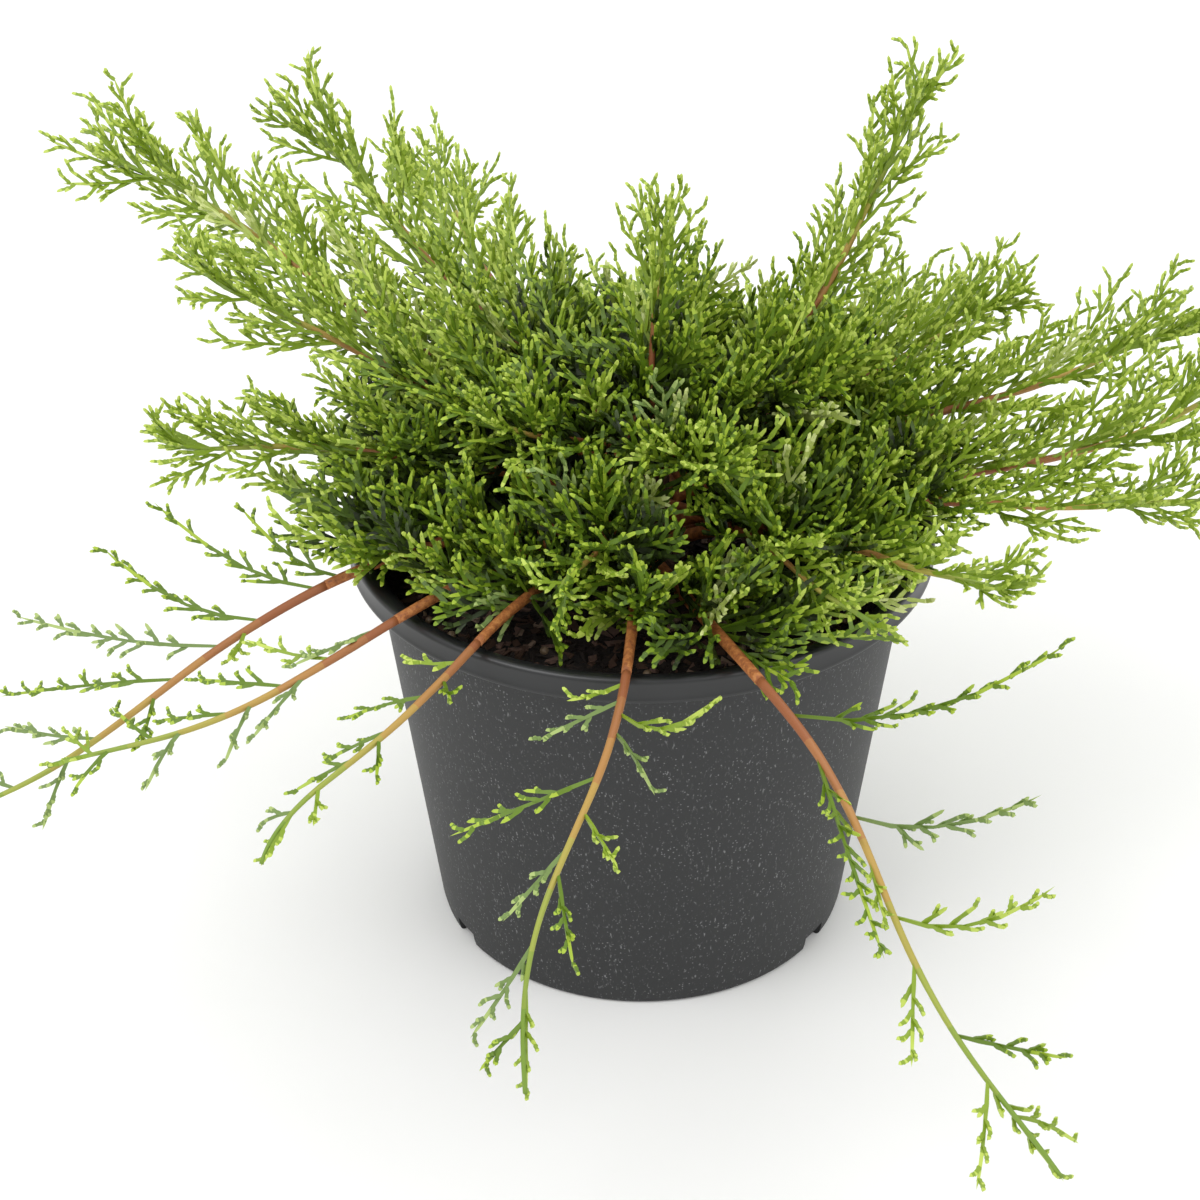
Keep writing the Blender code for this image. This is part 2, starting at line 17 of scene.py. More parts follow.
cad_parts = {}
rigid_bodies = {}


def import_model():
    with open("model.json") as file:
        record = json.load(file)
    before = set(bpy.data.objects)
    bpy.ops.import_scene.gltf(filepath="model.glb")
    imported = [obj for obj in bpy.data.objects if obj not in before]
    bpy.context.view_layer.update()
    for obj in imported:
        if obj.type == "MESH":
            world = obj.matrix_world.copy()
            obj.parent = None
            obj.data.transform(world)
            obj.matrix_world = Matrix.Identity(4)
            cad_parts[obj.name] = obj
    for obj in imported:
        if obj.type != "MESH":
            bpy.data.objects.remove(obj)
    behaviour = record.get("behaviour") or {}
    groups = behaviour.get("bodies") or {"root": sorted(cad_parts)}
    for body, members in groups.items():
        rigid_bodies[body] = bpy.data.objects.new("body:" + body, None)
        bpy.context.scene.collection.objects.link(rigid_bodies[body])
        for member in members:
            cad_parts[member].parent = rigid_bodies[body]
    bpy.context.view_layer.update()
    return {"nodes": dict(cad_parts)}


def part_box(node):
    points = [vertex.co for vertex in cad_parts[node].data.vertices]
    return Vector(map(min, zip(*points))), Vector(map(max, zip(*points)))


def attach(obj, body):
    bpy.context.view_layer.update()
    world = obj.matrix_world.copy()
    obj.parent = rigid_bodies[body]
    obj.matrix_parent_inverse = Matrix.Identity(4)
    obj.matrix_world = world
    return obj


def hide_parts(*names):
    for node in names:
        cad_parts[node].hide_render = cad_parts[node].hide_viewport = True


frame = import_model()

# %% [markdown]
# ## Colours and materials
# Colours are read off the real thing as sRGB hex values, and Blender's shader wants them linear, so one
# function turns them. One more function adds a shader node with its settings and links, which keeps
# every material below to a few readable lines.

# %% Colour and node helpers
def linear(code):
    """sRGB hex to linear RGBA: x/12.92 below 0.04045, else ((x + 0.055) / 1.055) to the power 2.4."""
    srgb = np.array([int(code[i : i + 2], 16) for i in (1, 3, 5)]) / 255
    flat = np.where(srgb <= 0.04045, srgb / 12.92, ((srgb + 0.055) / 1.055) ** 2.4)
    return (*map(float, flat), 1.0)


def node(tree, kind, settings=None, links=None, **inputs):
    """Adds a node, sets its attributes and its sockets, and links its sockets to other nodes' outputs.

    A colour ramp takes its (position, hex colour) stops as one more setting.
    """
    made = tree.nodes.new(kind)
    settings = dict(settings or {})
    for index, (position, code) in enumerate(settings.pop("stops", ())):
        steps = made.color_ramp.elements
        step = steps[index] if index < 2 else steps.new(position)
        step.position = position
        step.color = linear(code)
    for key, value in settings.items():
        setattr(made, key, value)
    for key, value in inputs.items():
        made.inputs[key.replace("_", " ")].default_value = value
    for key, source in (links or {}).items():
        tree.links.new(source, made.inputs[key])
    return made


def new_material(name, code, roughness, ior=1.5):
    """A material with its tree and shader: base colour, roughness and index of refraction set."""
    material = bpy.data.materials.new(name)
    material.use_nodes = True
    shader = material.node_tree.nodes["Principled BSDF"]
    shader.inputs["Base Color"].default_value = linear(code)
    shader.inputs["Roughness"].default_value = roughness
    shader.inputs["IOR"].default_value = ior
    material.diffuse_color = linear(code)
    return material, material.node_tree, shader


# %% [markdown]
# ## Meshes from arrays
# Every surface is worked out with numpy and put into its mesh in one go, because loops over a million
# faces would take minutes.

# %% Mesh helpers
POLE = 0.0001


def mesh_object(name, points, faces, materials, indices=None, smooth=True):
    """A mesh object at the origin from an (n, 3) array of points and an array of triangles or quads."""
    mesh = bpy.data.meshes.new(name)
    points = np.asarray(points, np.float32)
    faces = np.asarray(faces, np.int32)
    corners = faces.shape[1]
    mesh.vertices.add(len(points))
    mesh.vertices.foreach_set("co", points.ravel())
    mesh.loops.add(faces.size)
    mesh.loops.foreach_set("vertex_index", faces.ravel())
    mesh.polygons.add(len(faces))
    mesh.polygons.foreach_set("loop_start", np.arange(0, faces.size, corners, dtype=np.int32))
    mesh.polygons.foreach_set("loop_total", np.full(len(faces), corners, np.int32))
    for material in materials:
        mesh.materials.append(material)
    if indices is not None:
        mesh.polygons.foreach_set("material_index", np.asarray(indices, np.int32))
    mesh.polygons.foreach_set("use_smooth", np.full(len(faces), smooth))
    mesh.update(calc_edges=True)
    item = bpy.data.objects.new(name, mesh)
    bpy.context.scene.collection.objects.link(item)
    return item


def finish_piece(item, slot, *nodes):
    """Makes a piece ride on the plant's one body and hides the solids it stands for; its slot is not used."""
    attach(item, "root")
    if nodes:
        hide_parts(*nodes)
    print(item.name, len(item.data.polygons), "faces")


def turned_grid(profile, sides):
    """Points of a profile of (radius, height) turned about Z, and the quads between them.

    Row i, column j is (radius_i cos a_j, radius_i sin a_j, height_i), with a_j = 2 pi j / sides.
    """
    angles = 2 * np.pi * np.arange(sides) / sides
    radius, height = np.asarray(profile, float).T
    x = radius[:, None] * np.cos(angles)
    y = radius[:, None] * np.sin(angles)
    z = np.repeat(height[:, None], sides, axis=1)
    rows = np.arange(len(profile) - 1)[:, None] * sides
    column = np.arange(sides)
    after = (column + 1) % sides
    quads = np.stack([rows + column, rows + sides + column, rows + sides + after, rows + after], axis=-1)
    return np.stack([x, y, z], axis=-1).reshape(-1, 3), quads.reshape(-1, 4)


def close_ends(item):
    """Closes a turned mesh at its first and last ring, and turns its faces outwards."""
    shape = bmesh.new()
    shape.from_mesh(item.data)
    bmesh.ops.holes_fill(shape, edges=[edge for edge in shape.edges if edge.is_boundary], sides=0)
    bmesh.ops.recalc_face_normals(shape, faces=shape.faces)
    shape.to_mesh(item.data)
    shape.free()


# %% [markdown]
# ## The pot
# A blown pot of recycled black polypropylene: thin wall, an outward band under a rolled crest, and a
# smooth lip that slopes inwards. It is one profile turned about the axis, the same as the solid's but
# with many more sides, and the drain notches are cut afterwards.

# %% Pot sizes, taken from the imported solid
low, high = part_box("pot")
RIM_RADIUS = round(high.x, 4)
POT_HEIGHT = high.z
BASE_RADIUS = 0.740 * RIM_RADIUS
SHOULDER_RADIUS = 0.917 * RIM_RADIUS
LIP_RADIUS = 0.911 * RIM_RADIUS
BAND_DEPTH = 0.011
LIP_DEPTH = 0.006
CREST_ROUND = 0.0022
WALL = 0.0022
FLOOR = 0.0026
BASE_ROUND = 0.0025
POT_SIDES = 192
NOTCH_AZIMUTHS = (-148.0, -34.0, 34.0, 148.0)
NOTCH_WIDTH = 0.014
NOTCH_HEIGHT = 0.008
NOTCH_REACH = 0.006
print("pot radius and height", RIM_RADIUS, POT_HEIGHT)


# %% Pot mesh
def rounded(centre_radius, centre_height, size, start, end, count):
    """Points on a round corner, at angles in degrees from outwards to up."""
    angles = np.radians(np.linspace(start, end, count))
    return list(zip(centre_radius + size * np.cos(angles), centre_height + size * np.sin(angles)))


def pot_profile():
    """Floor, inner wall, sloping lip, crest, band with a thin lower edge, outer wall and foot."""
    foot = POT_HEIGHT - BAND_DEPTH
    lip = POT_HEIGHT - LIP_DEPTH
    crest = RIM_RADIUS - CREST_ROUND
    points = [(POLE, FLOOR), (BASE_RADIUS - WALL, FLOOR), (SHOULDER_RADIUS - WALL, foot - 0.001)]
    points += [(LIP_RADIUS - 0.0002, lip - 0.0006), (LIP_RADIUS + 0.0004, lip)]
    points += [(crest - 0.004, POT_HEIGHT - 0.0009), (crest - 0.0012, POT_HEIGHT - 0.0002)]
    points += rounded(crest, POT_HEIGHT - CREST_ROUND, CREST_ROUND, 90, 0, 7)
    points += [(RIM_RADIUS - 0.0007, foot + 0.0030), (RIM_RADIUS - 0.0001, foot + 0.0018)]
    points += rounded(RIM_RADIUS - 0.0009, foot + 0.0009, 0.0009, 0, -90, 4)
    points += [(SHOULDER_RADIUS + 0.0012, foot - 0.0003), (SHOULDER_RADIUS, foot - 0.0016)]
    heights = np.linspace(foot - 0.01, BASE_ROUND * 2, 12)
    share = heights / foot
    points += list(zip(BASE_RADIUS + (SHOULDER_RADIUS - BASE_RADIUS) * share, heights))
    points += rounded(BASE_RADIUS - BASE_ROUND, BASE_ROUND, BASE_ROUND, 0, -90, 5)
    return points + [(POLE, 0.0)]


def cut_notches(pot):
    """Cuts the drain notches at the foot with boxes, as the solid does, and applies the cut."""
    cutters = bpy.data.collections.new("notch cutters")
    for azimuth in NOTCH_AZIMUTHS:
        shape = bmesh.new()
        bmesh.ops.create_cube(shape, size=1.0)
        angle = math.radians(azimuth)
        place = Matrix.Translation((BASE_RADIUS + 0.001) * Vector((math.cos(angle), math.sin(angle), 0)))
        size = Matrix.Diagonal((2 * NOTCH_REACH, NOTCH_WIDTH, 2 * NOTCH_HEIGHT, 1.0))
        shape.transform(place @ Matrix.Rotation(angle, 4, "Z") @ size)
        mesh = bpy.data.meshes.new("notch")
        shape.to_mesh(mesh)
        shape.free()
        cutters.objects.link(bpy.data.objects.new("notch", mesh))
    cut = pot.modifiers.new("Notches", "BOOLEAN")
    cut.operand_type = "COLLECTION"
    cut.collection = cutters
    bpy.context.view_layer.update()
    graph = bpy.context.evaluated_depsgraph_get()
    done = bpy.data.meshes.new_from_object(pot.evaluated_get(graph))
    pot.modifiers.clear()
    pot.data = done
    for cutter in list(cutters.objects):
        bpy.data.objects.remove(cutter)
    bpy.data.collections.remove(cutters)


# %% [markdown]
# Recycled polypropylene is charcoal with pale flecks and short fibres of the old plastics in it, and it
# is finely pitted. The rim is rolled under heat, so it is smoother and shinier. Voronoi cells of two
# millimetres give the flecks, stretched noise gives the fibres, and neither is on the rim.

# %% Pot plastic
def recycled_polypropylene():
    """Flecks, fibres and pits below the band, and a smoother, shinier rolled rim.

    To the eye it is a matt charcoal with a pale speckle, which the rim's soft highlight stands out from.
    """
    material, tree, shader = new_material("recycled_polypropylene_blown", "#262728", 0.5, 1.49)
    place = node(tree, "ShaderNodeTexCoord").outputs["Object"]
    height = node(tree, "ShaderNodeSeparateXYZ", links={"Vector": place}).outputs["Z"]
    band_foot = POT_HEIGHT - BAND_DEPTH
    body = node(
        tree, "ShaderNodeMapRange", links={"Value": height},
        From_Min=band_foot - 0.001, From_Max=band_foot + 0.001, To_Min=1.0, To_Max=0.0,
    ).outputs["Result"]
    # 520 cells a metre are 2 mm apart, a little coarser than the real flecks, so that they show.
    fleck = node(tree, "ShaderNodeTexVoronoi", links={"Vector": place}, Scale=520.0)
    pale = node(
        tree, "ShaderNodeMapRange", links={"Value": fleck.outputs["Distance"]},
        From_Min=0.10, From_Max=0.26, To_Min=1.0, To_Max=0.0,
    ).outputs["Result"]
    # Fibres are about a millimetre thick and three long.
    turned = node(
        tree, "ShaderNodeMapping", links={"Vector": place}, Scale=(1.0, 1.0, 0.35), Rotation=(0.4, 0.3, 0)
    ).outputs["Vector"]
    fibre = node(tree, "ShaderNodeTexNoise", links={"Vector": turned}, Scale=900.0, Detail=3.0)
    thread = node(
        tree, "ShaderNodeMapRange", links={"Value": fibre.outputs["Fac"]},
        From_Min=0.60, From_Max=0.72,
    ).outputs["Result"]
    # Regrind is mixed unevenly, so the marks are denser in patches of about 20 mm.
    mottle = node(tree, "ShaderNodeTexNoise", links={"Vector": place}, Scale=45.0, Detail=8.0, Roughness=0.7)
    marks = node(tree, "ShaderNodeMath", {"operation": "MAXIMUM"}, {0: pale, 1: thread}).outputs[0]
    shown = node(tree, "ShaderNodeMath", {"operation": "MULTIPLY"}, {0: marks, 1: body}).outputs[0]
    patchy = node(tree, "ShaderNodeMath", {"operation": "MULTIPLY"}, {0: shown, 1: mottle.outputs["Fac"]})
    stops = [(0.0, "#222324"), (0.30, "#3b3c3d"), (0.7, "#8a8b8c")]
    colour = node(tree, "ShaderNodeValToRGB", {"stops": stops}, {"Fac": patchy.outputs[0]})
    rough = node(tree, "ShaderNodeMapRange", links={"Value": body}, To_Min=0.34, To_Max=0.56)
    pits = node(tree, "ShaderNodeBump", links={"Height": shown}, Strength=0.35, Distance=0.0002)
    tree.links.new(colour.outputs["Color"], shader.inputs["Base Color"])
    tree.links.new(rough.outputs["Result"], shader.inputs["Roughness"])
    tree.links.new(pits.outputs["Normal"], shader.inputs["Normal"])
    return material


pot_points, pot_quads = turned_grid(pot_profile(), POT_SIDES)
pot = mesh_object("nursery_pot", pot_points, pot_quads, [recycled_polypropylene()])
close_ends(pot)
cut_notches(pot)
pot.data.set_sharp_from_angle(angle=math.radians(40))
finish_piece(pot, "pot_plastic", "pot")

# %% [markdown]
# ## The potting mix
# Composted bark: a near-black crumb with brown chips on top and round, coated fertiliser beads. The
# surface is a turned grid whose heights are stirred by a few sine waves, and the chips and beads are
# many small meshes worked out together as arrays.

# %% Potting mix surface
SOIL_TOP = POT_HEIGHT - 0.022
SOIL_SIDES = 160
SOIL_RINGS = 90
CRUMB = 0.0007
CRUMB_LIFT = 0.0008
EDGE_FADE = 0.004
SOIL_GAP = 0.0004
draws = np.random.default_rng(11)


def crumb_height(x, y):
    """Uneven crumb: a sum of sine waves of falling size in turned directions."""
    total = np.zeros_like(x)
    for octave in range(5):
        angle = 1.3 * octave
        wave = 190.0 * 1.7**octave
        across = np.sin(wave * (x * np.cos(angle) + y * np.sin(angle)) + 2 * octave)
        down = np.sin(wave * (y * np.cos(angle) - x * np.sin(angle)) + octave)
        total += across * down / 1.5**octave
    return total


wall_at_soil = BASE_RADIUS + (SHOULDER_RADIUS - BASE_RADIUS) * SOIL_TOP / (POT_HEIGHT - BAND_DEPTH)
soil_rim = wall_at_soil - WALL - SOIL_GAP
soil_profile = [(radius, SOIL_TOP) for radius in np.linspace(POLE, soil_rim, SOIL_RINGS)]
soil_profile += [(BASE_RADIUS - WALL - 1.5 * SOIL_GAP, FLOOR + SOIL_GAP)]
soil_points, soil_quads = turned_grid(soil_profile, SOIL_SIDES)
on_top = soil_points[:, 2] == SOIL_TOP
edge_fade = np.clip((soil_rim - np.hypot(soil_points[:, 0], soil_points[:, 1])) / EDGE_FADE, 0, 1)
crumb = CRUMB_LIFT + CRUMB * crumb_height(soil_points[:, 0], soil_points[:, 1]) * edge_fade
soil_points[:, 2] += crumb * on_top


def composted_bark():
    """Near-black crumb with brown grains: 2.4 mm cells lift it, 4 mm noise colours it, quite matt."""
    material, tree, shader = new_material("composted_bark_mix", "#1a1512", 0.95)
    place = node(tree, "ShaderNodeTexCoord").outputs["Object"]
    lumps = node(tree, "ShaderNodeTexVoronoi", links={"Vector": place}, Scale=420.0)
    grain = node(tree, "ShaderNodeTexNoise", links={"Vector": place}, Scale=260.0, Detail=6.0, Roughness=0.7)
    stops = [(0.3, "#0d0a08"), (0.5, "#1d1612"), (0.62, "#33261d"), (0.75, "#4f3d30")]
    colour = node(tree, "ShaderNodeValToRGB", {"stops": stops}, {"Fac": grain.outputs["Fac"]})
    lift = node(
        tree, "ShaderNodeBump", links={"Height": lumps.outputs["Distance"]}, Strength=0.8, Distance=0.0012
    )
    tree.links.new(colour.outputs["Color"], shader.inputs["Base Color"])
    tree.links.new(lift.outputs["Normal"], shader.inputs["Normal"])
    return material


soil = mesh_object("potting_mix_crumb", soil_points, soil_quads, [composted_bark()])
close_ends(soil)
finish_piece(soil, "potting_mix", "potting_mix")


# %% [markdown]
# The chips are flakes up to 8 mm long that lie nearly flat. Boxes with shaken corners are enough, since
# no more than their outline and tilt is seen.

# %% Bark chips
CHIPS = 1500
HALF_LENGTHS = (0.001, 0.004)
HALF_WIDTHS = (0.0008, 0.002)
HALF_THICKNESSES = (0.0003, 0.0008)
CORNER_SHAKE = 0.35
CHIP_TILT = 0.45
CHIP_LIFT = 0.0012


def scattered(count, inner, outer):
    """Places spread evenly over a ring of the soil, by the square root of an even draw."""
    radius = np.sqrt(draws.uniform(inner**2, outer**2, count))
    angle = draws.uniform(0, 2 * np.pi, count)
    return radius * np.cos(angle), radius * np.sin(angle)


def chips(count):
    """Flat flakes of bark: boxes stretched, turned at random and half sunk in the crumb."""
    corners = np.array([[x, y, z] for x in (-1, 1) for y in (-1, 1) for z in (-1, 1)], float)
    sides = np.array([[0, 1, 3, 2], [4, 6, 7, 5], [0, 4, 5, 1], [2, 3, 7, 6], [0, 2, 6, 4], [1, 5, 7, 3]])
    halves = (HALF_LENGTHS, HALF_WIDTHS, HALF_THICKNESSES)
    size = np.stack([draws.uniform(*half, count) for half in halves], axis=-1)
    shake = draws.uniform(-CORNER_SHAKE, CORNER_SHAKE, (count, 8, 3))
    local = corners * size[:, None, :] * (1 + shake)
    yaw = draws.uniform(0, 2 * np.pi, count)
    pitch = draws.normal(0, CHIP_TILT, count)
    roll = draws.normal(0, CHIP_TILT, count)
    for angle, a, b in ((roll, 1, 2), (pitch, 0, 2), (yaw, 0, 1)):
        cos, sin = np.cos(angle)[:, None], np.sin(angle)[:, None]
        first, second = local[..., a].copy(), local[..., b].copy()
        local[..., a] = cos * first - sin * second
        local[..., b] = sin * first + cos * second
    x, y = scattered(count, 0.012, soil_rim - 0.005)
    z = SOIL_TOP + CHIP_LIFT + CRUMB * crumb_height(x, y)
    points = local + np.stack([x, y, z], -1)[:, None, :]
    faces = sides[None] + 8 * np.arange(count)[:, None, None]
    return points.reshape(-1, 3), faces.reshape(-1, 4)


# Dry composted bark: four plain browns dealt out chip by chip, the dark ones commonest.
CHIP_TONES = (("dark", "#241b16"), ("brown", "#4a3427"), ("pink_grey", "#6b5348"), ("pale", "#8d7767"))
chip_materials = [new_material("bark_chip_" + tone, code, 0.9)[0] for tone, code in CHIP_TONES]
chip_points, chip_faces = chips(CHIPS)
tone_of_face = np.repeat(draws.choice(4, CHIPS, p=[0.5, 0.3, 0.15, 0.05]), 6)
bark_chips = mesh_object("bark_chips", chip_points, chip_faces, chip_materials, tone_of_face, smooth=False)
finish_piece(bark_chips, "potting_mix")


# %% [markdown]
# Slow fertiliser comes as round grains in a skin of resin, about 4 mm across. One coarse ball is worked
# out once and its points are repeated at scattered places.

# %% Fertiliser beads
BEADS = 70
BEAD_RADIUS = 0.0018
BEAD_LIFT = 0.0022


def beads(count, size):
    """Round coated beads: a coarse ball repeated at scattered places, each of a slightly other size."""
    shape = bmesh.new()
    bmesh.ops.create_icosphere(shape, subdivisions=2, radius=size)
    ball = np.array([vert.co for vert in shape.verts])
    faces = np.array([[vert.index for vert in face.verts] for face in shape.faces])
    shape.free()
    x, y = scattered(count, 0.03, soil_rim - 0.006)
    z = SOIL_TOP + BEAD_LIFT + 0.0006 * crumb_height(x, y)
    points = ball[None] * draws.uniform(0.8, 1.15, (count, 1, 1)) + np.stack([x, y, z], -1)[:, None, :]
    faces = faces[None] + len(ball) * np.arange(count)[:, None, None]
    return points.reshape(-1, 3), faces.reshape(-1, 3)


bead_points, bead_faces = beads(BEADS, BEAD_RADIUS)
# A thin resin skin over brown-grey granules, with a dull shine.
bead_skin = new_material("resin_coated_fertiliser", "#7a6650", 0.45)[0]
finish_piece(mesh_object("fertiliser_beads", bead_points, bead_faces, [bead_skin]), "potting_mix")

# %% [markdown]
# ## The limbs' rule
# The solids' limbs follow one rule, written again here with the same named sizes: a cubic curve of
# distance and height, swung about the pot's axis. The same rule places the side shoots. `leafy` is how
# many times more of them grow here than in the solids. The spire's tip stays a little under its solid's.

# %% Limbs
TRUNK_FOOT = SOIL_TOP + 0.0023
TRUNK_TOP = 0.238
TRUNK_LEAN = (0.005, 0.003)
FLARE_RADIUS = 0.0175
COLLAR_RADIUS = 0.0115
FORK_RADIUS = 0.0075
FLARE_HEIGHT = 0.006
BOUGH_RADIUS = 0.0032
SHORT_LIMB_RADIUS = 0.0022
TIP_RADIUS = 0.0008
TAPER = 1.2
SWAY_DEGREES = 2.2
FIRST_THIRD = 0.34
LAST_THIRD = 0.85
CLEARANCE = 0.0006
# The fine shoots fork more closely than the solids' coarse ones.
FORK_ANGLE = 35.0
FORK_SPREAD = 7.0
SHOOT_TAPER = 0.5

Limb = namedtuple("Limb", "name azimuth turn reach foot rise crest tip bare shoots shoot roundness leafy")
WHIP, FEATHER, DOME = 1.0, 7.0, 2.0
LIMBS = [
    Limb("front_right", -76, 8, 0.355, 0.180, 0.212, 0.226, 0.122, 0.36, 7, 0.085, 0.15, WHIP),
    Limb("front", -89, -11, 0.265, 0.192, 0.214, 0.205, 0.098, 0.42, 6, 0.058, 0.15, WHIP),
    Limb("front_left", -118, -8, 0.238, 0.180, 0.222, 0.190, 0.150, 0.45, 5, 0.050, 0.15, WHIP),
    Limb("left_front", -130, -19, 0.270, 0.192, 0.228, 0.165, 0.156, 0.42, 5, 0.055, 0.15, WHIP),
    Limb("left", -156, 3, 0.320, 0.182, 0.248, 0.130, 0.128, 0.38, 7, 0.078, 0.25, WHIP),
    Limb("left_mid", 184, 0, 0.197, 0.196, 0.235, 0.225, 0.240, 0.42, 5, 0.055, 0.5, FEATHER),
    Limb("left_high", 150, 7, 0.250, 0.208, 0.235, 0.290, 0.322, 0.32, 6, 0.070, 0.5, FEATHER),
    Limb("left_upper", 171, 0, 0.185, 0.216, 0.240, 0.265, 0.300, 0.32, 5, 0.060, 0.5, FEATHER),
    Limb("back_left_high", 134, 5, 0.205, 0.220, 0.245, 0.285, 0.322, 0.32, 5, 0.065, 0.6, FEATHER),
    Limb("back_left", 117, 0, 0.250, 0.204, 0.238, 0.250, 0.262, 0.38, 5, 0.060, 0.5, FEATHER),
    Limb("back", 93, 0, 0.250, 0.190, 0.238, 0.215, 0.140, 0.42, 5, 0.060, 0.3, FEATHER),
    Limb("back_right", 67, 0, 0.250, 0.182, 0.232, 0.205, 0.150, 0.42, 5, 0.060, 0.3, FEATHER),
    Limb("right_back", 46, 0, 0.225, 0.198, 0.235, 0.225, 0.212, 0.42, 5, 0.055, 0.4, FEATHER),
    Limb("right_high", 30, 4, 0.142, 0.2185, 0.240, 0.280, 0.362, 0.32, 6, 0.050, 0.6, FEATHER),
    Limb("right_upper", 21, 0, 0.172, 0.209, 0.238, 0.245, 0.268, 0.38, 5, 0.055, 0.6, FEATHER),
    Limb("right", 10, 5, 0.256, 0.200, 0.232, 0.235, 0.252, 0.40, 6, 0.062, 0.4, FEATHER),
    Limb("right_long", 0, 4, 0.285, 0.182, 0.215, 0.212, 0.272, 0.40, 6, 0.065, 0.4, FEATHER),
    Limb("right_low", -12, 5, 0.250, 0.191, 0.220, 0.215, 0.212, 0.42, 5, 0.055, 0.3, FEATHER),
    Limb("right_front", -38, 0, 0.178, 0.184, 0.222, 0.222, 0.218, 0.45, 4, 0.045, 0.4, FEATHER),
    Limb("rim_front_left", -104, 0, 0.122, 0.206, 0.220, 0.224, 0.226, 0, 5, 0.042, 0.7, DOME),
    Limb("rim_front_right", -56, 2, 0.150, 0.204, 0.220, 0.226, 0.210, 0, 6, 0.045, 0.6, DOME),
]
DOME_AZIMUTHS = (-140, -70, 0, 75, 150)
for index, azimuth in enumerate(DOME_AZIMUTHS):
    odd = index % 2
    LIMBS.append(
        Limb(
            f"dome_{index + 1}", azimuth, 0, 0.082 + 0.008 * odd, 0.226 - 0.008 * odd,
            0.240, 0.252, 0.272 - 0.006 * odd, 0, 9, 0.048, 1, DOME,
        )
    )
LIMBS.append(Limb("spire", 70, 0, 0.026, TRUNK_TOP + CLEARANCE, 0.262, 0.288, 0.322, 0, 9, 0.045, 1, DOME))
print(len(LIMBS), "limbs")


def trunk_axis(height):
    """Where the leaning trunk's axis is, as arrays of points for an array of heights."""
    share = np.clip((height - TRUNK_FOOT - FLARE_HEIGHT) / (TRUNK_TOP - TRUNK_FOOT - FLARE_HEIGHT), 0, None)
    return np.stack([TRUNK_LEAN[0] * share, TRUNK_LEAN[1] * share, height + 0 * share], axis=-1)


def trunk_radius(height):
    """Flared at the soil by a square root, then a straight taper from the collar to the fork."""
    rise = np.clip(height - TRUNK_FOOT, 0, None)
    flare = FLARE_RADIUS + (COLLAR_RADIUS - FLARE_RADIUS) * np.sqrt(rise / FLARE_HEIGHT)
    share = (rise - FLARE_HEIGHT) / (TRUNK_TOP - TRUNK_FOOT - FLARE_HEIGHT)
    return np.where(rise < FLARE_HEIGHT, flare, COLLAR_RADIUS + (FORK_RADIUS - COLLAR_RADIUS) * share)


def limb_path(limb, shares):
    """Points along a limb: foot (1-t)^3 + rise 3t(1-t)^2 + crest 3t^2(1-t) + tip t^3, swung about Z."""
    t = np.asarray(shares, float)
    weights = np.stack([(1 - t) ** 3, 3 * t * (1 - t) ** 2, 3 * t * t * (1 - t), t**3], axis=-1)
    base = BOUGH_RADIUS if limb.bare else SHORT_LIMB_RADIUS
    on_top = limb.foot > TRUNK_TOP
    first = 0.0 if on_top else limb.reach * FIRST_THIRD
    slope = math.atan2(limb.rise - limb.foot, first)
    clear = 0.0 if on_top else float(trunk_radius(np.array(limb.foot))) + CLEARANCE + base * math.sin(slope)
    distance = weights @ np.array([clear, max(first, clear), limb.reach * LAST_THIRD, limb.reach])
    height = weights @ np.array([limb.foot, limb.rise, limb.crest, limb.tip])
    sway = SWAY_DEGREES * np.sin(math.radians(limb.azimuth * 1.7) + 3 * math.pi * t) * t
    angle = np.radians(limb.azimuth + limb.turn * t + sway)
    offset = trunk_axis(np.array(min(limb.foot, TRUNK_TOP)))
    x = distance * np.cos(angle) + offset[0] * (1 - t) ** 2
    y = distance * np.sin(angle) + offset[1] * (1 - t) ** 2
    return np.stack([x, y, height], axis=-1)


def limb_radius(limb, share):
    """The tip's radius, plus what the base has more times (1 - share) to the power 1.2."""
    base = BOUGH_RADIUS if limb.bare else SHORT_LIMB_RADIUS
    return TIP_RADIUS + (base - TIP_RADIUS) * (1.0 - share) ** TAPER


# %% [markdown]
# ## Bark on the trunk and the boughs
# The bare wood is a tube with long, shallow ridges: the radius of each ring is stirred by waves round
# the limb that drift along its length. The trunk's old bark flakes in strips, and the boughs' is thin.

# %% Tubes with relief
UP = np.array([0.0, 0.0, 1.0])


def unit(vectors):
    """Vectors scaled to the length 1."""
    return vectors / np.maximum(np.linalg.norm(vectors, axis=-1, keepdims=True), 1e-12)


def side_frames(along):
    """Two unit vectors square to each direction, the first of them level where it can be."""
    level = np.cross(along, UP)
    steep = np.linalg.norm(level, axis=-1, keepdims=True) < 0.05
    level = np.where(steep, np.cross(along, np.array([0.0, 1.0, 0.0])), level)
    side = unit(level)
    return side, np.cross(side, along)


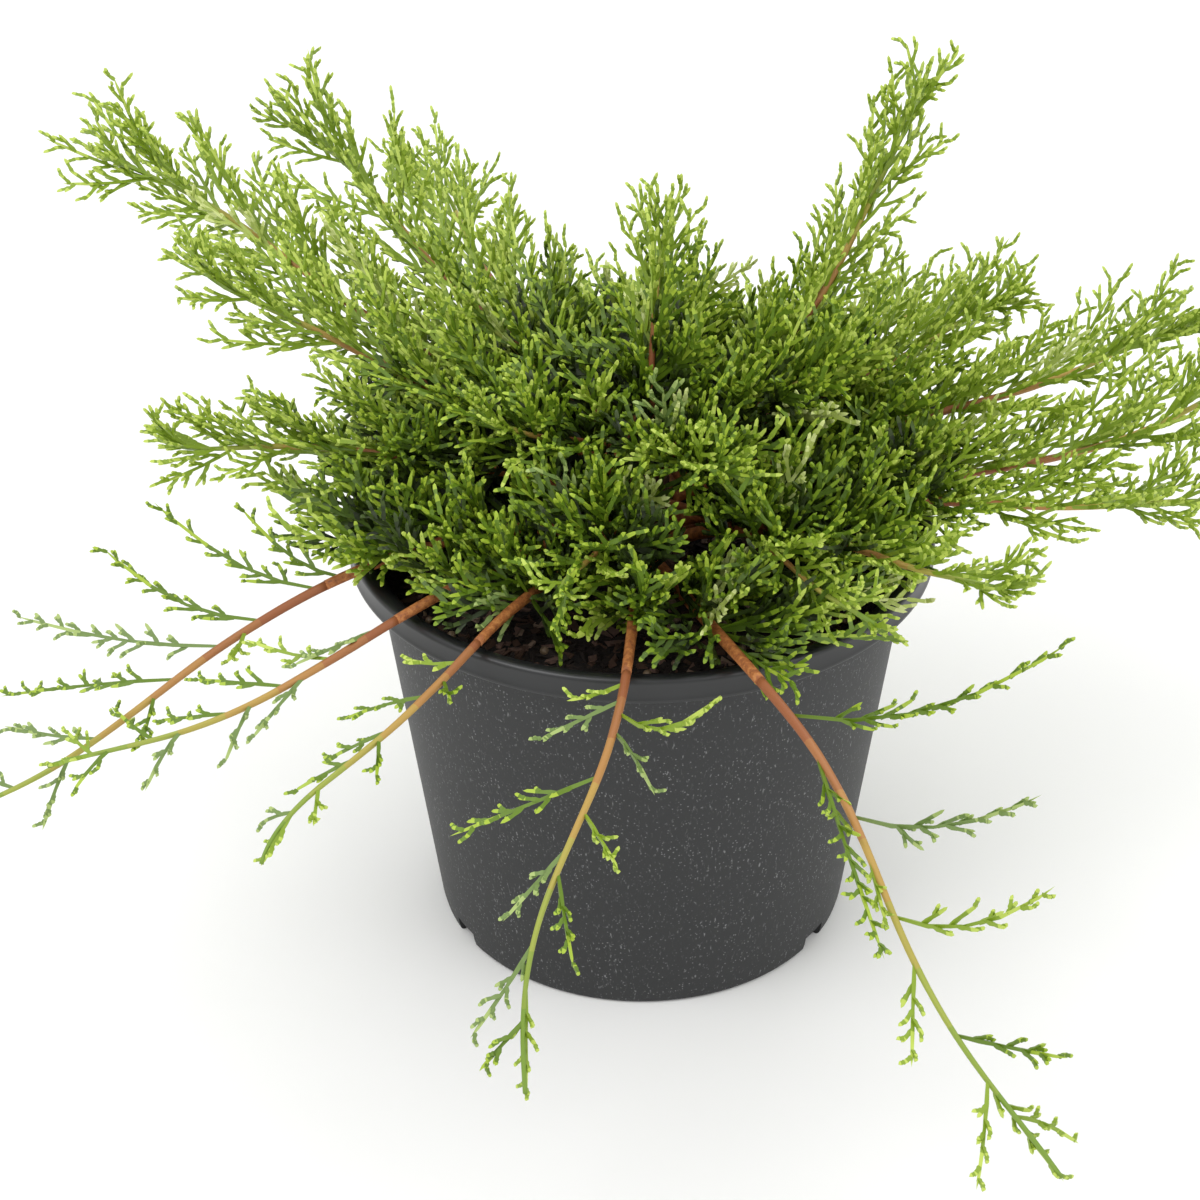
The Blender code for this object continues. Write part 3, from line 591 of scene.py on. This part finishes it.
def relief_tube(path, radii, sides, depth, drift):
    """A tube along a path with radius r (1 + d sin(5a + drift s) + d/2 sin(11a - 2 drift s)), d its depth."""
    along = unit(np.gradient(path, axis=0))
    side, up = side_frames(along)
    angle = 2 * np.pi * np.arange(sides) / sides
    run = np.linspace(0, 1, len(path))[:, None]
    ridges = 1 + depth * np.sin(5 * angle + drift * run) + 0.5 * depth * np.sin(11 * angle - 2 * drift * run)
    ring = (radii[:, None] * ridges)[..., None]
    around = np.cos(angle)[:, None] * side[:, None] + np.sin(angle)[:, None] * up[:, None]
    points = path[:, None] + ring * around
    rows = np.arange(len(path) - 1)[:, None] * sides
    column = np.arange(sides)
    after = (column + 1) % sides
    quads = np.stack([rows + column, rows + sides + column, rows + sides + after, rows + after], axis=-1)
    points = np.concatenate([points.reshape(-1, 3), path[:1], path[-1:]])
    first, last = len(points) - 2, len(points) - 1
    end = (len(path) - 1) * sides
    caps = [np.stack([np.full(sides, first), column, after], -1)]
    caps.append(np.stack([np.full(sides, last), end + after, end + column], -1))
    return points, quads.reshape(-1, 4), np.concatenate(caps)


def as_triangles(quads, caps):
    """Quads split in two, and the caps' fans, as one array of triangles."""
    halves = np.concatenate([quads[:, [0, 1, 2]], quads[:, [0, 2, 3]]])
    return np.concatenate([halves, caps])


def joined(parts):
    """Joins (points, faces) pairs into one pair."""
    offsets = np.cumsum([0] + [len(points) for points, _ in parts[:-1]])
    return np.concatenate([p for p, _ in parts]), np.concatenate([f + o for (_, f), o in zip(parts, offsets)])


def bark_material(name, stops, ridge_scale, roughness):
    """Fibrous bark: one noise colours the strips and lifts them by half a millimetre."""
    material, tree, shader = new_material(name, stops[1][1], roughness)
    place = node(tree, "ShaderNodeTexCoord").outputs["Object"]
    strips = node(
        tree, "ShaderNodeTexNoise", links={"Vector": place}, Scale=ridge_scale, Detail=7.0, Roughness=0.7
    ).outputs["Fac"]
    colour = node(tree, "ShaderNodeValToRGB", {"stops": stops}, {"Fac": strips})
    relief = node(tree, "ShaderNodeBump", links={"Height": strips}, Strength=0.6, Distance=0.0005)
    tree.links.new(colour.outputs["Color"], shader.inputs["Base Color"])
    tree.links.new(relief.outputs["Normal"], shader.inputs["Normal"])
    return material


# Old bark is grey brown, dry and matt. Young bark is orange brown, thin and a little waxy.
OLD_BARK_STOPS = [(0.3, "#2e211a"), (0.5, "#5b4234"), (0.7, "#8a6a54")]
YOUNG_BARK_STOPS = [(0.3, "#6b3a20"), (0.5, "#a4622f"), (0.7, "#c98a4c")]
old_bark = bark_material("old_flaking_bark", OLD_BARK_STOPS, 260.0, 0.85)
young_bark = bark_material("thin_young_bark", YOUNG_BARK_STOPS, 420.0, 0.6)

# %% Trunk and boughs
# The ridges stand 3 to 4 per cent proud, so the tubes are 3 per cent slimmer than the solids.
BARK_RELIEF = 0.03
SLIM = 1 - BARK_RELIEF
trunk_heights = np.linspace(TRUNK_FOOT, TRUNK_TOP, 40)
trunk_points, trunk_quads, trunk_caps = relief_tube(
    trunk_axis(trunk_heights), trunk_radius(trunk_heights) * SLIM, 32, BARK_RELIEF, 4.0
)
trunk = mesh_object("trunk_bark", trunk_points, as_triangles(trunk_quads, trunk_caps), [old_bark])
finish_piece(trunk, "bark", "trunk")

bough_parts = []
for limb in LIMBS:
    if limb.bare:
        shares = np.linspace(0.0, limb.bare, 40)
        radii = limb_radius(limb, shares) * SLIM
        points, quads, caps = relief_tube(limb_path(limb, shares), radii, 14, BARK_RELIEF, 9.0)
        bough_parts.append((points, as_triangles(quads, caps)))
boughs = mesh_object("bough_bark", *joined(bough_parts), [young_bark])
finish_piece(boughs, "young_bark", *["bough_" + limb.name for limb in LIMBS if limb.bare])

# %% [markdown]
# ## Scale-leaf branchlets
# A juniper's finest twigs are wholly covered by overlapping scale leaves about a millimetre and a half
# long, which make them knobbly. Each is a short three-sided tube whose radius swells and shrinks ring
# by ring, with a blunt tip: few faces, because there are tens of thousands.

# %% Branchlet meshes
RINGS = 5
BRANCHLET_SIDES = 3
KNOBS = np.array([0.85, 1.22, 0.95, 1.20, 1.0])


def branchlets(root, way, length, bend, radius):
    """Bent knobbly tubes: point = root + way l s + bend l s^2, closed at the root and at a blunt tip.

    Returns every branchlet's points and triangles, and which triangles are in its brighter outer part.
    """
    count = len(root)
    s = np.linspace(0, 0.9, RINGS)
    centre = root[:, None] + length[:, None, None] * (
        way[:, None] * s[:, None] + bend[:, None] * (s**2)[:, None]
    )
    along = unit(way[:, None] + 2 * bend[:, None] * s[:, None])
    side, up = side_frames(along)
    size = radius[:, None] * KNOBS * (1 - 0.25 * s)
    angle = 2 * np.pi * (np.arange(BRANCHLET_SIDES) + 0.5) / BRANCHLET_SIDES
    around = np.cos(angle)[:, None] * side[:, :, None] + np.sin(angle)[:, None] * up[:, :, None]
    ring_points = centre[:, :, None] + size[:, :, None, None] * around
    tip = root + length[:, None] * (way + bend)
    points = np.concatenate([ring_points.reshape(count, -1, 3), tip[:, None]], axis=1)
    rows = np.arange(RINGS - 1)[:, None] * BRANCHLET_SIDES
    column = np.arange(BRANCHLET_SIDES)
    after = (column + 1) % BRANCHLET_SIDES
    next_ring = rows + BRANCHLET_SIDES
    low = np.stack([rows + column, next_ring + after, rows + after], -1).reshape(-1, 3)
    top = np.stack([rows + column, next_ring + column, next_ring + after], -1).reshape(-1, 3)
    last = (RINGS - 1) * BRANCHLET_SIDES
    cap = np.stack([last + after, last + column, np.full(BRANCHLET_SIDES, last + BRANCHLET_SIDES)], -1)
    foot = np.array([[0, 1, 2]])
    pattern = np.concatenate([low, top, cap, foot])
    size_each = RINGS * BRANCHLET_SIDES + 1
    faces = pattern[None] + size_each * np.arange(count)[:, None, None]
    # A face that starts on one of the two last rings takes the tip's colour.
    ring_of_face = pattern[:, 0] // BRANCHLET_SIDES
    outer = ring_of_face >= RINGS - 2
    return points, faces, np.tile(outer, (count, 1))


# %% [markdown]
# ## Sprays grown by the rule
# On each limb the side shoots come first, then their branchlets to left and right in the spray's plane,
# and then the last short fingers on those. Every level is one set of arrays, and each branchlet takes
# the tone of the shoot that it stands on, because the colours are dealt out shoot by shoot. The rule
# places the shoots, except on the five long whips in front and on the left, where they can be counted.

# %% Side shoots
def limb_frame(limb, share):
    """Place, direction, level side and upward side of a limb at a share of its length."""
    step = 0.01
    before, here, after = limb_path(limb, [share - step, share, share + step])
    along = (after - before) / np.linalg.norm(after - before)
    side = np.cross(along, UP)
    if np.linalg.norm(side) < 0.2:
        angle = math.radians(limb.azimuth)
        side = np.array([math.sin(angle), -math.cos(angle), 0.0])
    side /= np.linalg.norm(side)
    return here, along, side, np.cross(side, along)


def shoot_plan(limb, count, start, draws):
    """Side shoots by the solids' rule: alternate on a flat spray, turned all round on a full one."""
    plan = []
    for index in range(count):
        along_share = (index + 0.5 + draws.uniform(-0.2, 0.2)) / count
        share = start + (0.97 - start) * along_share
        here, along, side, up = limb_frame(limb, share)
        hand = 1.0 if index % 2 else -1.0
        flat_roll = math.radians(draws.uniform(-10, 35))
        round_roll = math.radians(index * 137.5 + draws.uniform(-20, 20))
        flat_way = hand * math.cos(flat_roll) * side + math.sin(flat_roll) * up
        round_way = math.cos(round_roll) * side + math.sin(round_roll) * up
        way = (1 - limb.roundness) * flat_way + limb.roundness * round_way
        way = way + limb.roundness * 0.35 * UP
        way /= np.linalg.norm(way)
        fork = math.radians(FORK_ANGLE + draws.uniform(-FORK_SPREAD, FORK_SPREAD))
        direction = math.cos(fork) * along + math.sin(fork) * way
        flat = np.cross(np.cross(along, way), direction)
        length = limb.shoot * (1 - SHOOT_TAPER * along_share) * draws.uniform(0.70, 1.12)
        left = np.linalg.norm(limb_path(limb, [1.0])[0] - here)
        length = min(length, (left + 0.005) / math.cos(fork))
        plan.append((here, direction, flat / np.linalg.norm(flat), length))
    return plan


# Each row is a side shoot: share of the limb, turn as a part of a full fork (above zero to one hand,
# below zero to the other), length, and how far its tip rises or hangs.
WHIP_FORK = math.radians(50)
WHIP_SHOOTS = {
    "front_right": (
        (0.42, -1, 0.105, 0.050), (0.48, 0.25, 0.105, -0.004), (0.57, -1, 0.065, 0.032),
        (0.62, 0.2, 0.030, 0.0), (0.69, -1, 0.055, 0.040), (0.74, 0.55, 0.038, 0.0),
        (0.82, -1, 0.040, 0.006), (0.87, 1, 0.037, 0.0), (0.91, -1, 0.028, -0.012),
    ),
    "front": (
        (0.44, 1, 0.025, 0.005), (0.47, 1, 0.038, 0.0), (0.49, -1, 0.052, 0.040),
        (0.52, -1, 0.024, -0.012), (0.59, 1, 0.055, 0.0), (0.64, -1, 0.032, 0.002),
        (0.69, 0.4, 0.034, 0.0), (0.72, -0.6, 0.037, 0.0), (0.81, 0.35, 0.040, 0.0),
        (0.90, 0.8, 0.026, 0.0),
    ),
    "front_left": (
        (0.50, 1, 0.022, 0.004), (0.54, -1, 0.018, 0.004), (0.58, 1, 0.034, -0.004),
        (0.66, 0.5, 0.030, 0.0), (0.68, -1, 0.020, 0.0), (0.73, 0.4, 0.026, 0.0),
        (0.80, -1, 0.018, 0.0), (0.86, 1, 0.016, -0.004),
    ),
    "left_front": (
        (0.44, 0.3, 0.041, 0.0), (0.52, 1, 0.036, 0.010), (0.56, -0.5, 0.034, 0.0),
        (0.59, 1, 0.045, 0.004), (0.64, -1, 0.026, -0.006), (0.67, 0.6, 0.036, 0.0),
        (0.74, -1, 0.024, -0.008), (0.78, 1, 0.030, 0.004), (0.85, -1, 0.020, -0.004),
        (0.88, 1, 0.022, 0.002),
    ),
    "left": (
        (0.36, 1, 0.050, 0.030), (0.39, 1, 0.078, 0.036), (0.46, 1, 0.082, 0.036),
        (0.48, -1, 0.030, 0.010), (0.51, 1, 0.100, 0.012), (0.57, 1, 0.085, -0.010),
        (0.60, -1, 0.034, 0.004), (0.68, 1, 0.046, 0.006), (0.72, -1, 0.034, -0.004),
        (0.80, 1, 0.034, 0.004), (0.86, -1, 0.026, 0.0), (0.91, 1, 0.020, 0.002),
    ),
}


def whip_plan(limb):
    """Side shoots of a whip in its own flat plane, as the rows above place them."""
    plan = []
    for share, turn, length, _ in WHIP_SHOOTS[limb.name]:
        here, along, side, _ = limb_frame(limb, share)
        fork = turn * WHIP_FORK
        direction = math.cos(fork) * along + math.sin(fork) * side
        flat = math.cos(fork) * side - math.sin(fork) * along
        plan.append((here, direction, flat, length))
    return plan


OVER_RIM = 0.0025
OVER_SOIL = 0.004
OFF_WALL = 0.003
OFF_GROUND = 0.006


def clear_of_pot(points):
    """True for each point that is over the rim, over the soil or outside the pot and off the ground."""
    distance = np.hypot(points[..., 0], points[..., 1])
    height = points[..., 2]
    over_rim = height > POT_HEIGHT + OVER_RIM
    over_soil = (distance < LIP_RADIUS - OFF_WALL) & (height > SOIL_TOP + OVER_SOIL)
    outside = (distance > RIM_RADIUS + OFF_WALL) & (height > OFF_GROUND)
    return over_rim | over_soil | outside


Shoots = namedtuple("Shoots", "root way flat length bend")
ROLL_SPREAD = 0.38
CHILD_FORK_SPREAD = 7


def children(parents, pitch, first, reach, taper, fork_degrees, draws):
    """Alternate branchlets along each parent, in its flat plane.

    Child k stands at k pitches from the first share, forks to one side and then the other, and has the
    length reach (1 - taper s) at share s of its parent. Returns each child's parent number and share,
    and its root, direction, flat side and length.
    """
    counts = np.maximum(((1 - first) * parents.length / pitch).astype(int), 1)
    k = np.arange(int(counts.max()))
    keep = k[None] < counts[:, None]
    s = first + (0.98 - first) * (k[None] + draws.uniform(0.1, 0.9, keep.shape)) / counts[:, None]
    parent, child = np.nonzero(keep)
    s = s[parent, child]
    root, way, flat, length, bend = (a[parent] for a in parents)
    here_way = unit(way + 2 * bend * s[:, None])
    here = root + length[:, None] * (way * s[:, None] + bend * (s**2)[:, None])
    side = unit(flat - (flat * here_way).sum(-1, keepdims=True) * here_way)
    lift = np.cross(here_way, side)
    hand = np.where((child + parent) % 2, 1.0, -1.0)
    roll = draws.normal(0, ROLL_SPREAD, len(s))
    out = np.cos(roll)[:, None] * side * hand[:, None] + np.sin(roll)[:, None] * lift
    fork = np.radians(draws.normal(fork_degrees, CHILD_FORK_SPREAD, len(s)))
    ways = np.cos(fork)[:, None] * here_way + np.sin(fork)[:, None] * out
    flats = np.cos(fork)[:, None] * out - np.sin(fork)[:, None] * here_way
    lengths = reach * (1 - taper * s) * draws.uniform(0.65, 1.25, len(s))
    return parent, s, here, unit(ways), unit(flats), lengths


# %% [markdown]
# ## Colours of the sprays
# New growth at the tips is lime and last year's is fresh green; the dark greens deep inside the dome are
# painted shade. Each shoot gets one of six greens for its bodies and a brighter one for its tips, darker
# the deeper it lies, as painted shade, and by chance. A few shoots are pale yellow green, as new ones
# often are. The scales have a thin wax that gives a soft sheen, so they are neither matt nor shiny.

# %% Foliage colours
FOLIAGE = {
    "deep_shade": ("#212f06", "#374a0b"),
    "mid_green": ("#465f0d", "#7a961d"),
    "fresh_green": ("#5f7c14", "#a2ba36"),
    "lime": ("#849e28", "#b9cc58"),
    "pale_yellow_green": ("#b0c062", "#d2dc90"),
    "cool_green": ("#6f8746", "#a2b66a"),
}
SHADE, MID, FRESH, LIME, PALE, COOL = range(6)
LEAF_ROUGHNESS = 0.5
foliage_materials = []
for name, (body, tip) in FOLIAGE.items():
    foliage_materials.append(new_material("scale_leaf_" + name, body, LEAF_ROUGHNESS)[0])
    foliage_materials.append(new_material("scale_leaf_" + name + "_tip", tip, LEAF_ROUGHNESS)[0])
# Green wood under a thin skin: reddish brown where a stem is a year old, green where it still grows.
STEM_TONES = (
    ("red_brown", "#945731"), ("orange_brown", "#a0683a"), ("tan", "#ad7d42"), ("straw", "#b29146"),
    ("olive_straw", "#a99d45"), ("yellow_green", "#98a241"), ("light_green", "#869b38"), ("green", "#75922f"),
)
stem_materials = [new_material("young_stem_" + name, code, 0.55)[0] for name, code in STEM_TONES]


CROWN_CENTRE = np.array([0.0, 0.0, 0.19])
CROWN_SIZE = np.array([0.125, 0.125, 0.10])
# Depths in the crown where a shoot's green steps lighter; the deeper, darker greens are painted shade.
PAINTED_SHADE_STEPS = (0.62, 0.88, 1.12)
PALE_CHANCE = 0.04


def tone_of(place, whip, draws):
    """A shoot's tone by how far out in the crown it is, deeper ones darker as painted shade: its distance in
    an ellipsoid, and some chance.
    """
    outward = np.linalg.norm((place - CROWN_CENTRE) / CROWN_SIZE, axis=-1)
    depth = outward + draws.normal(0, 0.16, len(place))
    tone = np.digitize(depth, PAINTED_SHADE_STEPS)
    tone = np.where(draws.uniform(size=len(place)) < PALE_CHANCE, PALE, tone)
    if whip:
        tone = draws.choice([FRESH, LIME, COOL], len(place), p=[0.45, 0.30, 0.25])
    return tone


# %% [markdown]
# ## Three kinds of shoot
# The whips' shoots are slender, with short stubby branchlets. The feathers' are broader, and the dome's
# are the densest and stoutest, painted darker towards their roots as shade. One set of named numbers says
# how each kind differs, and one function grows them all.

# %% Kinds of shoot
Kind = namedtuple(
    "Kind",
    "first pitch reach taper fork least most pull "
    "finger_pitch finger_reach finger_fork finger_pull radii shaded",
)
WHIP_KIND = Kind(
    first=0.14, pitch=0.0046, reach=0.0105, taper=0.68, fork=35, least=0.7, most=1.25, pull=0.16,
    finger_pitch=0.0044, finger_reach=0.0048, finger_fork=34, finger_pull=0.12,
    radii=(0.0009, 0.00098, 0.00092), shaded=0,
)
FEATHER_KIND = WHIP_KIND._replace(pitch=0.0038, reach=0.0165, finger_reach=0.0072)
DOME_KIND = Kind(
    first=0.28, pitch=0.0034, reach=0.0175, taper=0.45, fork=40, least=1, most=1, pull=0.20,
    finger_pitch=0.0042, finger_reach=0.0080, finger_fork=40, finger_pull=0.15,
    radii=(0.0010, 0.00112, 0.00106), shaded=0.55,
)
USUAL_SHOOT = 0.045
FINGER_FIRST = 0.25
FINGER_TAPER = 0.4
BEND_SPREAD = 0.03


def grown(shoots, tone, kind, draws):
    """Branchlets and fingers on main shoots: points, triangles and the material of each triangle.

    Branchlets bend towards their parent's direction by `pull`, and a little upwards. Their lengths go
    by their shoot's over the usual one, held between `least` and `most`. On the first `shaded` part of
    their shoot they are one tone darker, which is painted shade.
    """
    parent, s, root, way, flat, length = children(
        shoots, kind.pitch, kind.first, kind.reach, kind.taper, kind.fork, draws
    )
    length = length * np.clip(shoots.length[parent] / USUAL_SHOOT, kind.least, kind.most)
    bend = 0.12 * UP + kind.pull * shoots.way[parent] + draws.normal(0, BEND_SPREAD, root.shape)
    second = Shoots(root, way, flat, length, bend)
    above, _, root, way, flat, length = children(
        second, kind.finger_pitch, FINGER_FIRST, kind.finger_reach, FINGER_TAPER, kind.finger_fork, draws
    )
    bend = 0.10 * UP + kind.finger_pull * second.way[above] + draws.normal(0, BEND_SPREAD, root.shape)
    third = Shoots(root, way, flat, length, bend)
    # Branchlets near a shoot's root take the next darker green: painted shade.
    painted_shade_near_root = (s < kind.shaded) & (tone[parent] < PALE)
    inner = np.where(painted_shade_near_root, np.maximum(tone[parent] - 1, SHADE), tone[parent])
    levels = (shoots, second, third)
    root, way, _, length, bend = (np.concatenate(columns) for columns in zip(*levels))
    tones = np.concatenate([tone, inner, inner[above]])
    radius = np.repeat(kind.radii, [len(level.root) for level in levels])
    good = clear_of_pot(root + length[:, None] * (way + bend)) & clear_of_pot(root)
    points, faces, outer = branchlets(root[good], way[good], length[good], bend[good], radius[good])
    index = 2 * tones[good][:, None] + outer
    return points.reshape(-1, 3), faces.reshape(-1, 3), index.reshape(-1)


# %% [markdown]
# Each mass is grown from its own random seed, so that one can be changed and the others stay. Its stem
# is a tube of its own, because its colour goes from wood to green along it.

# %% A mass on its limb
def grow(limb, seed):
    """All the branchlets of one limb's mass: its side shoots, and its own leafy end as one shoot more."""
    draws = np.random.default_rng(seed)
    whip = limb.leafy == WHIP
    if whip:
        plan = whip_plan(limb)
        lift = np.array([row[3] / row[2] for row in WHIP_SHOOTS[limb.name]])
    else:
        start = 0.20 if limb.bare else 0.22
        plan = shoot_plan(limb, int(limb.shoots * limb.leafy), start, draws)
        lift = np.full(len(plan), 0.12)
    root, way, flat, length = (np.array(column) for column in zip(*plan))
    bend = lift[:, None] * UP + draws.normal(0, 0.04, root.shape)
    end = root + length[:, None] * (way + bend)
    middle = root + 0.5 * length[:, None] * (way + 0.5 * bend)
    good = clear_of_pot(end) & clear_of_pot(middle) & clear_of_pot(root)
    tone = tone_of((root + length[:, None] * way)[good], whip, draws)
    here, _, side, _ = limb_frame(limb, 0.86)
    end_way = limb_path(limb, [0.985])[0] - here
    span = np.linalg.norm(end_way)
    shoots = Shoots(
        np.concatenate([root[good], here[None]]),
        np.concatenate([way[good], end_way[None] / span]),
        np.concatenate([flat[good], side[None]]),
        np.concatenate([length[good], [span]]),
        np.concatenate([bend[good], np.zeros((1, 3))]),
    )
    return grown(shoots, np.concatenate([tone, [LIME]]), WHIP_KIND if whip else FEATHER_KIND, draws)


def stem_tube(limb):
    """The limb's leafy part: brown where it leaves its bough, then tan, yellow green and green."""
    rows = 60
    sides = 8
    shares = np.linspace(limb.bare, 0.98, rows)
    radii = np.maximum(limb_radius(limb, shares) * 0.92, 0.0009)
    points, quads, caps = relief_tube(limb_path(limb, shares), radii, sides, 0.06, 14.0)
    faces = as_triangles(quads, caps)
    row = faces.min(axis=1) // sides
    progress = limb.bare + (0.98 - limb.bare) * np.clip(row / (rows - 1), 0, 1)
    tone = np.digitize(progress, np.linspace(0.46, 0.88, len(STEM_TONES) - 1))
    return points, faces, tone


# %% [markdown]
# ## The dome
# In the middle the boughs' inner parts carry short upright shoots, packed so close that they hide the
# wood. Their ends lie on a low, uneven dome, and each starts from the nearest point of a bough, a dome
# shoot or the trunk. The ends are spread by the golden angle, which leaves neither rows nor bald spots.
# Two lower layers in darker greens, painted shade, fill the depth behind the first.

# %% Dome shoots
DOME_CENTRE = np.array([0.004, 0.002, 0.205])
DOME_SIZE = np.array([0.126, 0.120, 0.070])
EDGE_AZIMUTHS = (-180, -152, -128, -106, -86, -60, -36, -10, 30, 90, 150)
EDGE_SCALE = (1.16, 1.14, 0.92, 0.84, 1.00, 1.06, 1.00, 1.00, 1.04, 1.02, 1.12)


def dome_ends(count, scale, draws):
    """Golden-angle points on an ellipsoid, from its top to just below its middle.

    Step k of n has the height 1 - 1.12 k/n, and its radius is drawn in where soil shows at the rim.
    """
    step = np.arange(count) + 0.5
    rise = 1 - 1.12 * step / count
    angle = step * math.radians(137.508) + draws.normal(0, 0.10, count)
    edge = np.interp(np.degrees(angle), EDGE_AZIMUTHS, EDGE_SCALE, period=360)
    flat = np.sqrt(1 - rise**2) * edge
    unevenness = 1 + draws.normal(0, 0.07, count)
    shape = np.stack([flat * np.cos(angle), flat * np.sin(angle), rise], -1)
    return DOME_CENTRE + scale * unevenness[:, None] * shape * DOME_SIZE


WOOD_WITHIN = 0.105
WOOD_ABOVE = 0.19
INSIDE_BY = 0.012
BELOW_BY = 0.015
SHORTEST = 0.030


def nearest_wood(ends):
    """The wood that each end grows from: the nearest limb point, counting outer and higher ones as farther.

    The cost is the gap, plus 4 times how far the wood is outside or above, plus 6 times what it is too near.
    """
    wood = np.concatenate([limb_path(limb, np.linspace(0.05, 0.55, 26)) for limb in LIMBS])
    wood = wood[(np.hypot(wood[:, 0], wood[:, 1]) < WOOD_WITHIN) & (wood[:, 2] > WOOD_ABOVE)]
    gap = np.linalg.norm(ends[:, None] - wood[None], axis=-1)
    outward = np.hypot(wood[:, 0], wood[:, 1])[None] - np.hypot(ends[:, 0], ends[:, 1])[:, None]
    above = wood[None, :, 2] - ends[:, None, 2]
    cost = gap + 4 * np.clip(outward + INSIDE_BY, 0, None) + 4 * np.clip(above + BELOW_BY, 0, None)
    cost = cost + 6 * np.clip(SHORTEST - gap, 0, None)
    return wood[np.argmin(cost, axis=1)]


def dome_layer(count, scale, chances, seed):
    """One layer of upright shoots whose ends lie on the dome, with the chance of each green."""
    draws = np.random.default_rng(seed)
    ends = dome_ends(count, scale, draws)
    ends = ends[clear_of_pot(ends)]
    root = nearest_wood(ends)
    span = ends - root
    length = np.linalg.norm(span, axis=1)
    bend = 0.16 * UP + draws.normal(0, 0.03, span.shape)
    way = span / length[:, None] - bend
    turn = draws.uniform(0, np.pi, len(root))
    side, up = side_frames(unit(way))
    flat = np.cos(turn)[:, None] * side + np.sin(turn)[:, None] * up
    tone = draws.choice(len(FOLIAGE), len(root), p=chances)
    return grown(Shoots(root, way, flat, length, bend), tone, DOME_KIND, draws)


DOME_NODES = [name for name in frame["nodes"] if name.startswith("foliage_dome") or name == "foliage_spire"]
# The lower layers lie deeper in the dome and take darker greens, as painted shade.
DOME_LAYERS = (
    ("outer_a", 240, 1.0, (0.05, 0.30, 0.40, 0.20, 0.04, 0.01), 31),
    ("outer_b", 240, 0.90, (0.12, 0.38, 0.34, 0.14, 0.02, 0.0), 32),
    ("inner", 190, 0.74, (0.55, 0.35, 0.10, 0.0, 0.0, 0.0), 33),
)
total = 0
for name, count, scale, chances, seed in DOME_LAYERS:
    points, faces, index = dome_layer(count, scale, chances, seed)
    crown = mesh_object("leaves_crown_" + name, points, faces, foliage_materials, index, smooth=False)
    finish_piece(crown, "foliage", *DOME_NODES)
    total += len(index)

# %% [markdown]
# Last come the limbs' own masses: for each one its leaves and its stem, in place of one solid.

# %% Masses on the limbs
for number, limb in enumerate(LIMBS):
    points, faces, index = grow(limb, 100 + number)
    leaves = mesh_object("leaves_" + limb.name, points, faces, foliage_materials, index, smooth=False)
    finish_piece(leaves, "foliage", "foliage_" + limb.name)
    total += len(index)
    points, faces, tone = stem_tube(limb)
    stem = mesh_object("stem_" + limb.name, points, faces, stem_materials, tone)
    finish_piece(stem, "foliage", "foliage_" + limb.name)
    total += len(tone)
print("foliage triangles", total)

# %% [markdown]
# ## Floor, light and camera
# A plain white floor under big soft lights, as in a product picture. The camera's place was worked out
# from the pot's outline: 32 degrees down, a little over a metre away, with a 75 mm lens.

# %% Stage
bpy.ops.mesh.primitive_plane_add(size=12.0)
floor = bpy.context.object
floor.name = "floor"
# Matt white paper, which only shows the plant's soft shadow.
floor.data.materials.append(new_material("white_paper_sweep", "#f6f6f5", 0.9)[0])

world = bpy.data.worlds.new("studio")
world.use_nodes = True
world.node_tree.nodes["Background"].inputs["Color"].default_value = (1.0, 1.0, 1.0, 1.0)
world.node_tree.nodes["Background"].inputs["Strength"].default_value = 0.85
bpy.context.scene.world = world


def soft_light(name, place, target, size, power):
    """A round area light at a place, turned to face the target."""
    data = bpy.data.lights.new(name, "AREA")
    data.shape = "DISK"
    data.size = size
    data.energy = power
    lamp = bpy.data.objects.new(name, data)
    lamp.location = place
    lamp.rotation_euler = (Vector(target) - Vector(place)).to_track_quat("-Z", "Y").to_euler()
    bpy.context.scene.collection.objects.link(lamp)


MIDDLE = (0.0, 0.0, 0.18)
soft_light("key", (-1.2, -1.0, 2.4), MIDDLE, 1.6, 26)
soft_light("fill", (1.6, -1.2, 1.6), MIDDLE, 1.8, 12)
soft_light("top_back", (0.3, 1.6, 2.2), MIDDLE, 1.6, 16)

CAMERA_DISTANCE = 8.55 * RIM_RADIUS
LOOK_DOWN = math.radians(30.3)
PITCH = math.radians(1.9)
TURN_LEFT = math.radians(0.95)
camera_data = bpy.data.cameras.new("camera")
camera_data.lens = 75.0
camera_data.sensor_width = 36.0
camera_data.clip_start = 0.02
camera = bpy.data.objects.new("camera", camera_data)
bpy.context.scene.collection.objects.link(camera)
camera_back = CAMERA_DISTANCE * math.cos(LOOK_DOWN)
camera_up = POT_HEIGHT + CAMERA_DISTANCE * math.sin(LOOK_DOWN)
tilt = Matrix.Rotation(math.pi / 2 - LOOK_DOWN - PITCH, 4, "X")
turn = Matrix.Rotation(TURN_LEFT, 4, "Y")
camera.matrix_world = Matrix.Translation((0, -camera_back, camera_up)) @ tilt @ turn
bpy.context.scene.camera = camera
bpy.context.scene.view_settings.view_transform = "Standard"
